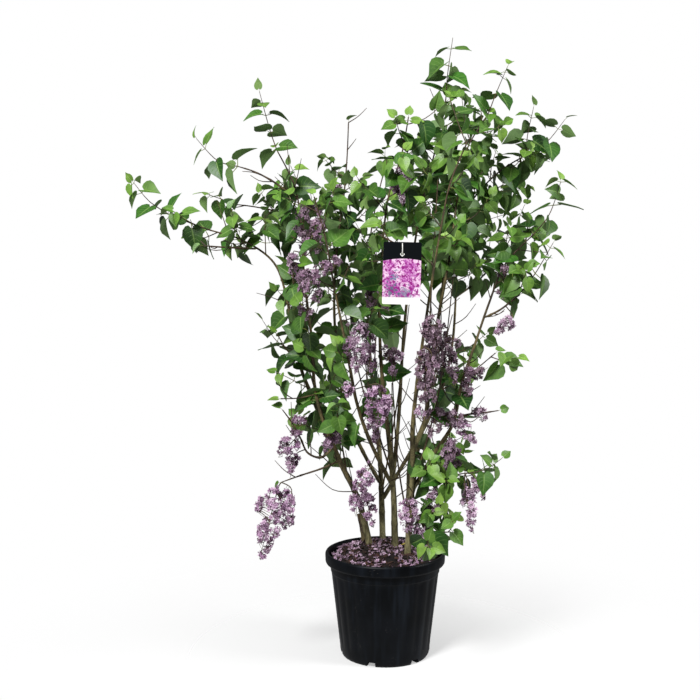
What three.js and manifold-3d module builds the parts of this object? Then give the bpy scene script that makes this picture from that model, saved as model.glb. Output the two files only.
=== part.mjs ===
// A lilac shrub in a black nursery pot: pot, compost, canes, side branches, flower panicles,
// leafy shoots and a hanging plant label. Millimetres, +Z up, origin at the centre of the pot's underside.
import * as THREE from "three";
import { mergeVertices } from "three/addons/utils/BufferGeometryUtils.js";
import Module from "manifold-3d";

const wasm = await Module();
wasm.setup();

// ---------------------------------------------------------------- driving dimensions

const GAP = 0.3; // clearance between pieces that touch

const POT = {
  height: 260,
  shoulderRadius: 137, // the wall just under the rim
  rimOverhang: 13, // how far the rim stands out from the shoulder
  rimHeight: 28,
  rimLip: 7, // how far the rim's top reaches in from its outside
  baseRadius: 113,
  cornerHeight: 22, // rounded lower corner of the wall
  wall: 2.5,
  floorCorner: 8, // how far the wall's foot reaches in over the floor
  floorRise: 12, // height of that slope
  collarHeight: 20, // plain band between the rim and the flutes
  collarStep: 1.2, // how far the collar stands out from the wall below it
  fluteFade: 18, // height in which the flutes run out at the foot
  fluteHead: 8, // and under the collar
  flutes: 24,
  fluteDepth: 1.6,
  feet: 6,
  footInset: 6, // from the wall's foot in to the feet
  footHeight: 12, // the drainage channel's height over the ground
  footWidth: 16,
  footDraft: 5, // how far each foot's inner side leans
  padRadius: 36, // middle pad that also stands on the ground
  notchWidth: 22, // gap between two feet
  notchTurn: -20, // degrees from the front to the first notch
  drainRadius: 6,
};

const COMPOST = { edgeDepth: 12, edgeHeight: 20, moundHeight: 26, moundPower: 3, lump: 2.5 };

const BUSH = {
  height: 1134, // from the compost's edge to the highest cane's tip
  spread: 880, // from the leftmost cane's tip to the rightmost cane's tip
};

// taper is the power with which a stem thins out from its foot to its tip
const CANE = { footRadius: 9.5, tipRadius: 1.5, taper: 1.5, sides: 8, ringSpacing: 95, sunk: 40 };
const FORK = { footRadius: 5.6, tipRadius: 1.5, taper: 1.1, sides: 8, ringSpacing: 95 };
const BRANCH = { footRadius: 3.2, tipRadius: 1.3, taper: 0.85, sides: 6, ringSpacing: 45 };
const SHOOT = {
  footRadius: 1.5, tipRadius: 0.9, taper: 1, sides: 5, ringSpacing: 40, length: 80, lift: 0.25, pairs: 3,
};
const LEAF = { length: 58, thickness: 1.2, petiole: 15, petioleWidth: 2.4 };
const PANICLE = { lobes: 4, lobeDepth: 0.16, around: 10, along: 8 };
const STALK = { footRadius: 1.7, tipRadius: 1.5, taper: 1, sides: 5, ringSpacing: 30, rise: 8, sunk: 14 };
const LABEL = {
  width: 84,
  height: 137,
  thickness: 0.8,
  holeDrop: 26, // from the card's top edge to its hole
  holeRadius: 3.2,
  tilt: 1.4,
  hang: 16, // from the branch's middle to the hole
};
const TIE = { strap: 1.1, above: 7, below: 1.6, slack: 6 }; // the strap's half-width, and the room in its loop

// ---------------------------------------------------------------- growth plan
// Places are [x, y, z]: x to the right, y to the back, z above the compost's edge.
// The whole plan is stretched to the bush's height and spread, and each cane's foot to the pot's radius.

const CANES = {
  cane_01: [[-25, 24, 0], [-74, 12, 160], [-130, -10, 268], [-165, -24, 365], [-205, -35, 467],
            [-232, -45, 580], [-255, -60, 710], [-298, -78, 757], [-385, -100, 805], [-465, -112, 818],
            [-508, -118, 844]],
  cane_02: [[-98, -62, 225], [-142, -82, 325], [-168, -96, 405], [-178, -100, 545], [-196, -90, 690],
            [-206, -70, 845], [-222, -62, 920], [-262, -63, 1000]],
  cane_12: [[-2, 62, 0], [-10, 176, 235], [-28, 252, 415], [-40, 300, 630], [-30, 322, 820], [6, 332, 985]],
  cane_03: [[-92, 145, 320], [-120, 180, 475], [-130, 202, 630], [-120, 212, 790],
            [-100, 222, 945], [-92, 230, 1100]],
  cane_05: [[26, -8, 0], [18, -18, 200], [4, -26, 330], [-14, -30, 520], [-14, -38, 665], [2, -50, 880],
            [38, -46, 1000], [52, -36, 1080]],
  cane_04: [[-36, -118, 300], [-68, -152, 390], [-95, -184, 530], [-122, -206, 670], [-146, -216, 800],
            [-168, -222, 880]],
  cane_06: [[36, 80, 330], [48, 92, 535], [66, 100, 710], [96, 90, 890],
            [130, 64, 1035], [148, 46, 1134]],
  cane_07: [[50, -44, 0], [62, -88, 205], [60, -122, 330], [66, -162, 435], [78, -200, 555], [92, -238, 670],
            [112, -258, 805], [140, -268, 935], [170, -270, 1000]],
  cane_11: [[84, -78, 218], [108, -76, 262], [144, -92, 305], [168, -112, 405], [188, -124, 500],
            [216, -126, 565], [242, -124, 650], [276, -120, 730], [344, -108, 800]],
  cane_08: [[60, 14, 0], [68, 8, 265], [94, 0, 325], [110, -20, 470], [122, -40, 580], [140, -56, 680],
            [156, -58, 785], [172, -42, 905], [198, -22, 1015], [246, -8, 1090]],
  cane_09: [[98, 92, 300], [134, 130, 520], [150, 150, 650], [176, 152, 790], [236, 142, 905],
            [314, 122, 980], [372, 106, 1012]],
  cane_10: [[118, 160, 320], [172, 206, 445], [192, 232, 575], [198, 250, 710], [222, 260, 845],
            [284, 262, 925], [322, 262, 940]],
};

// These canes don't come from the ground: each forks from an earlier one at a height.
const FORKS = {
  cane_02: { from: "cane_01", height: 105 },
  cane_03: { from: "cane_12", height: 150 },
  cane_04: { from: "cane_05", height: 175 },
  cane_06: { from: "cane_05", height: 200 },
  cane_11: { from: "cane_07", height: 180 },
  cane_09: { from: "cane_08", height: 190 },
  cane_10: { from: "cane_12", height: 110 },
};

// A pruned cane keeps only its foot.
const STUB = { name: "pruned_stub", places: [[-48, 62, 0], [-57, 66, 48], [-66, 70, 90]], radius: 5.5 };

// side branches, each from where it leaves its cane
const BRANCHES = {
  branch_01: [[-112, -70, 255], [-150, -84, 240], [-196, -92, 226], [-252, -102, 208]],
  branch_02: [[-126, -76, 290], [-168, -92, 262], [-196, -102, 288], [-212, -108, 330], [-248, -118, 385]],
  branch_03: [[92, -77, 234], [132, -90, 222], [186, -114, 232]],
  branch_04: [[156, -102, 350], [184, -116, 372], [222, -124, 378], [262, -130, 385]],
  branch_05: [[176, -116, 440], [206, -132, 505], [252, -142, 522]],
  branch_06: [[62, -86, 196], [68, -116, 130], [110, -140, 98], [150, -156, 100]],
  branch_07: [[-310, -82, 766], [-372, -128, 768], [-428, -152, 772]],
  branch_08: [[-208, -66, 880], [-272, -82, 925], [-318, -92, 948], [-352, -98, 958]],
  branch_09: [[-116, 214, 810], [-220, 170, 850], [-320, 110, 872], [-372, 80, 878]],
  branch_10: [[-214, -38, 495], [-246, -66, 530], [-262, -78, 562]],
  branch_11: [[-169, -96, 420], [-212, -112, 412], [-252, -122, 412]],
  branch_12: [[228, -125, 605], [272, -142, 630], [318, -152, 676]],
  branch_13: [[100, -247, 724], [60, -264, 756], [18, -272, 772], [-26, -274, 796]],
  branch_14: [[-36, 312, 720], [-120, 330, 800], [-190, 322, 880]],
  branch_15: [[196, 240, 640], [270, 300, 690], [330, 310, 760]],
};

// flower panicles: where each one begins, where it ends, and how wide it is
const PANICLES = [
  [[-262, -108, 196], [-304, -120, 22], 88],
  [[-246, -100, 190], [-236, -96, 84], 60],
  [[-216, -124, 322], [-256, -134, 272], 56],
  [[-122, -112, 352], [-152, -118, 268], 56],
  [[-194, -126, 372], [-226, -130, 318], 46],
  [[-16, -184, 448], [-34, -190, 348], 78],
  [[-44, -136, 246], [-76, -142, 190], 60],
  [[-58, -96, 190], [-26, -104, 96], 54],
  [[44, -142, 174], [60, -150, 82], 70],
  [[110, -128, 196], [104, -132, 136], 50],
  [[156, -134, 358], [214, -146, 312], 46],
  [[188, -150, 190], [204, -154, 94], 46],
  [[284, -172, 606], [246, -176, 566], 46],
  [[-192, -146, 868], [-164, -164, 746], 92],
  [[-170, -160, 722], [-194, -156, 596], 80],
  [[-62, -204, 604], [-78, -208, 474], 52],
];

// which canes and branches end in a leafy shoot that is modelled leaf by leaf
const LEAFY_TIPS = ["cane_01", "cane_02", "cane_06", "cane_08", "cane_09", "cane_11",
                    "branch_03", "branch_08", "branch_09", "branch_12", "branch_14", "branch_15"];

// ---------------------------------------------------------------- materials

const paint = (color, roughness) => new THREE.MeshStandardMaterial({ color, roughness, metalness: 0 });
const MATERIALS = {
  pot: paint(0x15181c, 0.45),
  compost: paint(0x2b1a14, 0.95),
  bark: paint(0x7a6a4a, 0.8),
  leaf: paint(0x3f7a2a, 0.5),
  flower: paint(0xb68cc4, 0.7),
  card: paint(0xd48ad0, 0.35),
  tie: paint(0xe6e6e0, 0.4),
};

// ---------------------------------------------------------------- helpers

const UP = new THREE.Vector3(0, 0, 1);
const radians = THREE.MathUtils.degToRad;
const compostEdge = POT.height - COMPOST.edgeDepth;

// A closed geometry as a solid.
function solidOf(geometry) {
  const bare = new THREE.BufferGeometry();
  bare.setAttribute("position", geometry.getAttribute("position"));
  bare.setIndex(geometry.getIndex());
  const merged = mergeVertices(bare, 1e-4);
  const corners = Array.from(merged.index.array);
  const kept = [];
  for (let i = 0; i < corners.length; i += 3) {
    const [a, b, c] = corners.slice(i, i + 3);
    if (a !== b && b !== c && c !== a) kept.push(a, b, c);
  }
  return new wasm.Manifold(new wasm.Mesh({
    numProp: 3,
    vertProperties: merged.attributes.position.array,
    triVerts: new Uint32Array(kept),
  }));
}

function geometryOf(solid) {
  const mesh = solid.getMesh();
  const places = new Float32Array(mesh.numVert * 3);
  for (let i = 0; i < mesh.numVert; i++) {
    places.set(mesh.vertProperties.subarray(i * mesh.numProp, i * mesh.numProp + 3), i * 3);
  }
  const geometry = new THREE.BufferGeometry();
  geometry.setAttribute("position", new THREE.BufferAttribute(places, 3));
  geometry.setIndex(new THREE.BufferAttribute(mesh.triVerts, 1));
  return geometry;
}

// The piece of a solid that is left when cuts have parted small scraps from it.
const largestBody = (solid) => solid.decompose().sort((a, b) => b.volume() - a.volume())[0];

function boxesMeet(a, b) {
  return a.min.every((low, i) => low < b.max[i] && b.min[i] < a.max[i]);
}

// How much the growth plan is stretched.
const plannedTips = Object.values(CANES).map((places) => places[places.length - 1]);
const plannedRight = Math.max(...plannedTips.map(([x]) => x));
const plannedLeft = Math.min(...plannedTips.map(([x]) => x));
const across = BUSH.spread / (plannedRight - plannedLeft);
const upward = BUSH.height / Math.max(...plannedTips.map(([, , z]) => z));
const plannedShoulder = 137; // the pot's shoulder radius in the growth plan
const footShare = POT.shoulderRadius / plannedShoulder;

function grownPlace([x, y, z]) {
  return new THREE.Vector3(x * across, y * across, compostEdge + z * upward);
}

// A cane's foot keeps its place in the pot, whatever the bush's size.
function footPlace([x, y]) {
  return new THREE.Vector3(x * footShare, y * footShare, compostEdge - CANE.sunk);
}

// A tube along a curve, thick at its foot and thin at its tip. extra makes it larger all over.
function taperedTube(curve, { footRadius, tipRadius, taper, sides, ringSpacing }, extra = 0) {
  const steps = Math.max(2, Math.round(curve.getLength() / ringSpacing));
  const section = new THREE.Shape(Array.from({ length: sides }, (_, i) => {
    const angle = (2 * Math.PI * i) / sides;
    return new THREE.Vector2(Math.cos(angle), Math.sin(angle));
  }));
  const tube = new THREE.ExtrudeGeometry(section, { steps, extrudePath: curve, bevelEnabled: false });
  const centres = curve.getSpacedPoints(steps);
  const place = tube.getAttribute("position");
  const corner = new THREE.Vector3();
  for (let i = 0; i < place.count; i++) {
    corner.fromBufferAttribute(place, i);
    const distances = centres.map((centre) => centre.distanceTo(corner));
    const ring = distances.indexOf(Math.min(...distances));
    const radius = THREE.MathUtils.lerp(tipRadius, footRadius, (1 - ring / steps) ** taper) + extra;
    corner.sub(centres[ring]).multiplyScalar(radius).add(centres[ring]);
    if (ring === 0) corner.addScaledVector(curve.getTangentAt(0), -extra);
    if (ring === steps) corner.addScaledVector(curve.getTangentAt(1), extra);
    place.setXYZ(i, corner.x, corner.y, corner.z);
  }
  return solidOf(tube);
}

// The turn and move that put a shape's own Y along a direction, with its Z as near to up as that allows.
function standing(origin, direction) {
  const y = direction.clone().normalize();
  const x = new THREE.Vector3().crossVectors(y, UP);
  if (x.lengthSq() < 1e-6) x.set(1, 0, 0);
  x.normalize();
  const z = new THREE.Vector3().crossVectors(x, y);
  return new THREE.Matrix4().makeBasis(x, y, z).setPosition(origin);
}

// ------------------------------------------------- the pieces, in the order in which they give way

const group = new THREE.Group();
const made = []; // every piece so far: its name and its solid grown by the gap

// Adds a piece. build(extra) makes its solid with every surface moved out by extra.
// It gives way to each earlier piece that it would touch.
function addPiece(name, material, build) {
  let solid = build(0);
  const box = solid.boundingBox();
  for (const other of made) {
    if (boxesMeet(box, other.box)) solid = solid.subtract(other.grown);
  }
  solid = largestBody(solid);
  const grown = build(GAP);
  made.push({ name, grown, box: grown.boundingBox() });
  const mesh = new THREE.Mesh(geometryOf(solid), material);
  mesh.name = name;
  group.add(mesh);
}

// ---------------------------------------------------------------- pot

const footOut = POT.baseRadius - POT.footInset;
const footIn = footOut - POT.footWidth;

// Radius of the pot's outer wall at a height, without the flutes.
function wallRadius(z) {
  const shoulder = POT.height - POT.rimHeight;
  const share = (z - POT.cornerHeight) / (shoulder - POT.cornerHeight);
  return THREE.MathUtils.lerp(POT.baseRadius, POT.shoulderRadius, share);
}

function potProfile() {
  const rimRadius = POT.shoulderRadius + POT.rimOverhang;
  const shoulder = POT.height - POT.rimHeight;
  const collar = shoulder - POT.collarHeight;
  const fluteFoot = POT.cornerHeight + POT.fluteFade;
  const fluteTop = collar - POT.fluteHead;
  const floor = POT.footHeight + POT.wall;
  const at = (r, z) => new THREE.Vector2(r, z);
  const corner = [0.35, 0.7].map((share) => at(
    footOut + POT.footInset * Math.sin(share * Math.PI / 2),
    POT.cornerHeight * (1 - Math.cos(share * Math.PI / 2)),
  ));
  return [
    at(0, 0), at(POT.padRadius, 0),
    at(POT.padRadius + POT.footDraft, POT.footHeight), at(footIn - POT.footDraft, POT.footHeight),
    at(footIn, 0), at(footOut, 0), ...corner,
    at(POT.baseRadius, POT.cornerHeight), at(wallRadius(fluteFoot), fluteFoot),
    at(wallRadius(fluteTop), fluteTop), at(wallRadius(collar) + POT.collarStep, collar),
    at(POT.shoulderRadius, shoulder), at(rimRadius - 3, shoulder + 2),
    at(rimRadius, shoulder + 7), at(rimRadius, POT.height - 5),
    at(rimRadius - 2, POT.height), at(rimRadius - POT.rimLip, POT.height),
    at(POT.shoulderRadius - POT.wall, shoulder),
    at(wallRadius(floor + POT.floorRise) - POT.wall, floor + POT.floorRise),
    at(wallRadius(floor) - POT.wall - POT.floorCorner, floor), at(0, floor),
  ];
}

// Moves the fluted part of the wall in on every second meridian.
function cutFlutes(geometry) {
  const place = geometry.getAttribute("position");
  const collar = POT.height - POT.rimHeight - POT.collarHeight;
  for (let i = 0; i < place.count; i++) {
    const [x, y, z] = [place.getX(i), place.getY(i), place.getZ(i)];
    const r = Math.hypot(x, z);
    const meridian = Math.round(Math.atan2(x, z) / (Math.PI / POT.flutes));
    const onWall = y > POT.cornerHeight + 1 && y < collar - 1 && r > wallRadius(y) - POT.wall / 2;
    if (onWall && meridian % 2 === 0) {
      const share = (r - POT.fluteDepth) / r;
      place.setXYZ(i, x * share, y, z * share);
    }
  }
}

function buildPot() {
  const shell = new THREE.LatheGeometry(potProfile(), 2 * POT.flutes);
  cutFlutes(shell);
  shell.rotateX(Math.PI / 2);
  let pot = solidOf(shell);
  const notch = new THREE.BoxGeometry(POT.notchWidth, POT.footWidth + 4 * POT.footDraft, POT.footHeight);
  const drain = new THREE.CylinderGeometry(POT.drainRadius, POT.drainRadius, POT.footHeight * 3, 12);
  drain.rotateX(Math.PI / 2);
  const drainRing = (POT.padRadius + footIn) / 2;
  const footRing = (footIn + footOut) / 2;
  for (let i = 0; i < POT.feet; i++) {
    const turn = radians(POT.notchTurn + (360 / POT.feet) * i);
    const cut = notch.clone().translate(0, -footRing, POT.footHeight / 2 - 0.5);
    const hole = drain.clone().translate(0, -drainRing, POT.footHeight);
    pot = pot.subtract(solidOf(cut.rotateZ(turn))).subtract(solidOf(hole.rotateZ(turn)));
  }
  return pot;
}

// The pot's inside as one body, for the compost to fill.
function fillProfile() {
  const floor = POT.footHeight + POT.wall;
  const inner = (z) => wallRadius(z) - POT.wall - POT.fluteDepth - GAP;
  const at = (r, z) => new THREE.Vector2(r, z);
  const edge = inner(compostEdge - COMPOST.edgeHeight);
  const top = [0.94, 0.82, 0.66, 0.5, 0.34, 0.18].map((share) => at(
    edge * share, compostEdge + COMPOST.moundHeight * (1 - share ** COMPOST.moundPower),
  ));
  return [
    at(0, floor + GAP), at(inner(floor) - POT.floorCorner - 1, floor + GAP),
    at(inner(floor + POT.floorRise + 2), floor + POT.floorRise + 2),
    at(edge, compostEdge - COMPOST.edgeHeight), at(edge, compostEdge), ...top,
    at(0, compostEdge + COMPOST.moundHeight),
  ];
}

function buildCompost() {
  const body = new THREE.LatheGeometry(fillProfile(), 28);
  body.rotateX(Math.PI / 2);
  const place = body.getAttribute("position");
  const edge = wallRadius(compostEdge) - POT.wall - 12;
  for (let i = 0; i < place.count; i++) {
    const [x, y, z] = [place.getX(i), place.getY(i), place.getZ(i)];
    const r = Math.hypot(x, y);
    if (z > compostEdge + 0.5 && r > 1 && r < edge) {
      place.setZ(i, z + COMPOST.lump * Math.sin(x / 11 + 1) * Math.cos(y / 13));
    }
  }
  return solidOf(body);
}

// ---------------------------------------------------------------- wood

const curves = {};

// Where a curve that rises from its foot passes a planned height.
function placeAtHeight(curve, height) {
  const places = curve.getSpacedPoints(400);
  return places.find((place) => place.z >= compostEdge + height * upward);
}

for (const [name, places] of Object.entries(CANES)) {
  const fork = FORKS[name];
  const start = fork ? placeAtHeight(curves[fork.from], fork.height) : footPlace(places[0]);
  const rest = fork ? places : places.slice(1);
  curves[name] = new THREE.CatmullRomCurve3([start, ...rest.map(grownPlace)]);
}
for (const [name, places] of Object.entries(BRANCHES)) {
  curves[name] = new THREE.CatmullRomCurve3(places.map(grownPlace));
}

// How thick a cane or branch is, for its length.
function sizeOf(name) {
  if (name.startsWith("branch")) return BRANCH;
  if (FORKS[name]) return FORK;
  const share = curves[name].getLength() / BUSH.height;
  return { ...CANE, footRadius: CANE.footRadius * THREE.MathUtils.clamp(share, 0.75, 1.1) };
}

// The compost gives way to the canes, so they come first.
for (const name of Object.keys(CANES)) {
  addPiece(name, MATERIALS.bark, (extra) => taperedTube(curves[name], sizeOf(name), extra));
}
const stubCurve = new THREE.CatmullRomCurve3(
  [footPlace(STUB.places[0]), ...STUB.places.slice(1).map(grownPlace)],
);
const stubSize = { ...CANE, footRadius: STUB.radius, tipRadius: STUB.radius - 0.5, ringSpacing: 50 };
addPiece(STUB.name, MATERIALS.bark, (extra) => taperedTube(stubCurve, stubSize, extra));
for (const name of Object.keys(BRANCHES)) {
  addPiece(name, MATERIALS.bark, (extra) => taperedTube(curves[name], sizeOf(name), extra));
}
addPiece("pot", MATERIALS.pot, buildPot);
addPiece("compost", MATERIALS.compost, buildCompost);

// ---------------------------------------------------------------- label and tie

// The card hangs in front of this branch, under its lowest stretch.
const labelBranch = curves.branch_13;
const hangShare = 0.6;
const hangPoint = labelBranch.getPointAt(hangShare);
const hangRadius = THREE.MathUtils.lerp(BRANCH.tipRadius, BRANCH.footRadius, (1 - hangShare) ** BRANCH.taper);
const cardForward = hangRadius + 2 * TIE.strap + 2; // the card hangs on the branch's near side

function buildCard(extra) {
  const outline = new THREE.Shape();
  const [w, h, t] = [LABEL.width / 2 + extra, LABEL.height, LABEL.thickness + 2 * extra];
  const top = LABEL.holeDrop + extra;
  outline.moveTo(-w, top - h - 2 * extra);
  outline.lineTo(w, top - h - 2 * extra);
  outline.lineTo(w, top);
  outline.lineTo(-w, top);
  outline.closePath();
  const hole = new THREE.Path();
  hole.absarc(0, 0, LABEL.holeRadius - extra, 0, 2 * Math.PI);
  outline.holes.push(hole);
  const card = new THREE.ExtrudeGeometry(outline, { depth: t, bevelEnabled: false, curveSegments: 8 });
  card.translate(0, 0, -t / 2);
  card.rotateX(Math.PI / 2);
  card.rotateY(radians(LABEL.tilt));
  card.translate(hangPoint.x, hangPoint.y - cardForward, hangPoint.z - LABEL.hang);
  return solidOf(card);
}

function buildTie(extra) {
  const low = -LABEL.hang - TIE.below - TIE.strap;
  const high = hangRadius + TIE.above;
  const loop = new THREE.TorusGeometry(1, 0.5, 6, 20);
  const place = loop.getAttribute("position");
  const halfHeight = (high - low) / 2;
  const halfWidth = (cardForward + hangRadius + TIE.slack) / 2;
  for (let i = 0; i < place.count; i++) {
    const [x, y, z] = [place.getX(i), place.getY(i), place.getZ(i)];
    const angle = Math.atan2(y, x);
    const out = (Math.hypot(x, y) - 1) * 2 * (TIE.strap + extra);
    place.setXYZ(
      i, z * 2 * (TIE.strap + extra),
      Math.cos(angle) * (halfWidth + out), Math.sin(angle) * (halfHeight + out),
    );
  }
  loop.translate(hangPoint.x, hangPoint.y - (cardForward - hangRadius) / 2, hangPoint.z + (high + low) / 2);
  return solidOf(loop);
}

addPiece("label_tie", MATERIALS.tie, buildTie);
addPiece("label_card", MATERIALS.card, buildCard);

// ---------------------------------------------------------------- flower panicles

const woodPlaces = Object.values(curves).flatMap((curve) => curve.getSpacedPoints(80));

// The stalk from the nearest cane or branch to a panicle that begins at a point.
function buildStalk(point, axis, extra) {
  const distances = woodPlaces.map((place) => place.distanceTo(point));
  const foot = woodPlaces[distances.indexOf(Math.min(...distances))];
  const middle = foot.clone().lerp(point, 0.5).addScaledVector(UP, STALK.rise);
  const end = point.clone().addScaledVector(axis.clone().normalize(), STALK.sunk);
  return taperedTube(new THREE.CatmullRomCurve3([foot, middle, end]), STALK, extra);
}

// A lobed cone on its stalk: broad near where it begins, and narrow at its end.
function buildPanicle(begin, end, width, turn, extra) {
  const from = grownPlace(begin);
  const axis = grownPlace(end).sub(from);
  const length = axis.length();
  const body = new THREE.SphereGeometry(1, PANICLE.around, PANICLE.along);
  const place = body.getAttribute("position");
  for (let i = 0; i < place.count; i++) {
    const [x, y, z] = [place.getX(i), place.getY(i), place.getZ(i)];
    const share = (y + 1) / 2;
    const round = Math.hypot(x, z);
    const lobe = 1 + PANICLE.lobeDepth * Math.cos(PANICLE.lobes * Math.atan2(z, x) + 5 * share + turn);
    const reach = (width / 2) * (1.12 - 0.62 * share) * lobe + extra;
    const across = round > 1e-6 ? (reach * round ** 0.8) / round : 0;
    place.setXYZ(i, x * across, share * length + (share - 0.5) * 2 * extra, z * across);
  }
  body.applyMatrix4(standing(from, axis));
  return solidOf(body).add(buildStalk(from, axis, extra));
}

PANICLES.forEach(([begin, end, width], i) => {
  const name = `panicle_${String(i + 1).padStart(2, "0")}`;
  addPiece(name, MATERIALS.flower, (extra) => buildPanicle(begin, end, width, i * 1.7, extra));
});

// ---------------------------------------------------------------- leafy shoots

// A heart-shaped leaf with its stalk, in its own plane: stalk end at the origin, tip along +Y.
function leafSolid(length, extra) {
  const stalk = LEAF.petioleWidth / 2 + extra;
  const l = length + extra;
  const at = (across, along) => [across * l, LEAF.petiole + along * l];
  const outline = new THREE.Shape();
  outline.moveTo(-stalk, -extra);
  outline.lineTo(stalk, -extra);
  outline.lineTo(stalk, LEAF.petiole - extra);
  outline.quadraticCurveTo(...at(0.4, -0.26), ...at(0.42, 0.22));
  outline.quadraticCurveTo(...at(0.36, 0.62), ...at(0, 1));
  outline.quadraticCurveTo(...at(-0.36, 0.62), ...at(-0.42, 0.22));
  outline.quadraticCurveTo(...at(-0.4, -0.26), -stalk, LEAF.petiole - extra);
  outline.closePath();
  const depth = LEAF.thickness + 2 * extra;
  const leaf = new THREE.ExtrudeGeometry(outline, { depth, bevelEnabled: false, curveSegments: 2 });
  leaf.translate(0, 0, -depth / 2);
  return solidOf(leaf);
}

// A green shoot that goes on from a cane's or branch's tip, with leaves in pairs and one at its end.
function buildShoot(curve, tipRadius, extra) {
  const start = curve.getPointAt(1);
  const onward = curve.getTangentAt(1);
  start.addScaledVector(onward, GAP - extra);
  const rise = new THREE.Vector3(0, 0, SHOOT.lift * SHOOT.length);
  const end = start.clone().addScaledVector(onward, SHOOT.length).add(rise);
  const middle = start.clone().lerp(end, 0.5).addScaledVector(rise, -0.4);
  const path = new THREE.CatmullRomCurve3([start, middle, end]);
  const size = { ...SHOOT, footRadius: Math.min(SHOOT.footRadius, tipRadius) };
  let shoot = taperedTube(path, size, extra);
  const addLeaf = (share, direction, length) => {
    const leaf = leafSolid(length, extra);
    const matrix = standing(path.getPointAt(share), direction);
    shoot = shoot.add(leaf.transform(matrix.elements));
  };
  for (let pair = 0; pair < SHOOT.pairs; pair++) {
    const share = (pair + 0.5) / SHOOT.pairs;
    const along = path.getTangentAt(share);
    const level = new THREE.Vector3().crossVectors(along, UP);
    if (level.lengthSq() < 0.02) level.set(1, 0, 0);
    level.normalize();
    if (pair % 2) level.applyAxisAngle(along, radians(70));
    for (const side of [-1, 1]) {
      const direction = level.clone().multiplyScalar(side).addScaledVector(along, 0.5);
      direction.z -= 0.35;
      addLeaf(share, direction, LEAF.length * (1 - 0.22 * pair));
    }
  }
  addLeaf(0.97, onward.clone().add(new THREE.Vector3(0, 0, 0.2)), LEAF.length * 0.6);
  return shoot;
}

LEAFY_TIPS.forEach((name, i) => {
  const tipRadius = name.startsWith("branch") ? BRANCH.tipRadius : CANE.tipRadius;
  const shootName = `leafy_shoot_${String(i + 1).padStart(2, "0")}`;
  addPiece(shootName, MATERIALS.leaf, (extra) => buildShoot(curves[name], tipRadius, extra));
});

export default group;
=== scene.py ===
# %% [markdown]
# # A flowering lilac in a nursery pot
# The shrub is a bundle of tapering canes that stand in a black moulded pot of bark compost. Side branches
# and thin twigs leave the canes, and carry heart-shaped leaves in opposite pairs and panicles of small
# four-petalled florets. A printed label hangs from one branch.
#
# A plant is a few small shapes repeated many times. So this lesson makes each small shape once, with care,
# and then stamps turned, scaled and tinted copies of it along paths that it reads from the frame.

# %% The frame
import math
import random

import bmesh
import bpy
from mathutils import Matrix, Vector, noise


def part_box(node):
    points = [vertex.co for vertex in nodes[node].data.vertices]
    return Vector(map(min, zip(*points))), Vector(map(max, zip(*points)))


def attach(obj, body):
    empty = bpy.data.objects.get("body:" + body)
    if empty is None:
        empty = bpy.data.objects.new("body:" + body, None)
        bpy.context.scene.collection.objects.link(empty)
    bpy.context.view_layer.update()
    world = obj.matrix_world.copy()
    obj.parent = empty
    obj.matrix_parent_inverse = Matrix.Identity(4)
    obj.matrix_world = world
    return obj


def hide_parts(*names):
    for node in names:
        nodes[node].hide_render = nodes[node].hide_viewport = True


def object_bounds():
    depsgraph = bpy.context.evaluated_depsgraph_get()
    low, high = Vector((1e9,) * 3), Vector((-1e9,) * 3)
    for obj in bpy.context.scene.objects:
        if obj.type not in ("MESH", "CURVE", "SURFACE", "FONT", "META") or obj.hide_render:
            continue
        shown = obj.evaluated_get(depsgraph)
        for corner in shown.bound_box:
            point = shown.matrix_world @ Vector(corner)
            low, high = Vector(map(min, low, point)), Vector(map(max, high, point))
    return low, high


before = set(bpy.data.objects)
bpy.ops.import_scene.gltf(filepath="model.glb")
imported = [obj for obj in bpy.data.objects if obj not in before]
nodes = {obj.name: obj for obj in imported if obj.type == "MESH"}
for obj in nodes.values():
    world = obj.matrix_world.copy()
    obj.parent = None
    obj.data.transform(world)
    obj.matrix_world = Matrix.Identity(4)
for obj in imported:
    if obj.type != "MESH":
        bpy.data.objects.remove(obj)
cad_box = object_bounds()

MM = 0.001
UP = Vector((0, 0, 1))
chance = random.Random(11)
print("frame box in mm:", [[round(c / MM) for c in corner] for corner in cad_box])

# %% [markdown]
# ## Camera, floor and light
# The camera looks slightly down on the shrub from the front. A pale floor and soft light from large lamps
# give the even look of a studio, where a black pot still shows its edges and leaves still gleam. The white
# surroundings light the bush much less than they show, so that its inside stays deep.

# %% The camera
CAMERA_PLACE = (-0.088, -2.66, 0.987)
CAMERA_DIP = 4.76  # degrees below level
FOCAL_LENGTH = 55.6


def add_object(name, data):
    made = bpy.data.objects.new(name, data)
    bpy.context.scene.collection.objects.link(made)
    return made


lens = bpy.data.cameras.new("camera")
lens.lens = FOCAL_LENGTH
camera = add_object("camera", lens)
camera.location = CAMERA_PLACE
camera.rotation_euler = (math.radians(90 - CAMERA_DIP), 0, 0)
bpy.context.scene.camera = camera
print("camera stands", round(-camera.location.y, 2), "m away")

# %% The light
FILL = 0.23  # how strongly the surroundings light the bush; they show at 1
bpy.context.scene.view_settings.view_transform = "Standard"
world = bpy.data.worlds.new("studio")
bpy.context.scene.world = world
world.use_nodes = True
backdrop = world.node_tree.nodes["Background"]
backdrop.inputs["Color"].default_value = (1, 1, 1, 1)
seen = world.node_tree.nodes.new("ShaderNodeLightPath")
brightness = world.node_tree.nodes.new("ShaderNodeMath")
brightness.operation = "MULTIPLY_ADD"
brightness.inputs[1].default_value = 1 - FILL
brightness.inputs[2].default_value = FILL
world.node_tree.links.new(seen.outputs["Is Camera Ray"], brightness.inputs[0])
world.node_tree.links.new(brightness.outputs[0], backdrop.inputs["Strength"])


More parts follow.
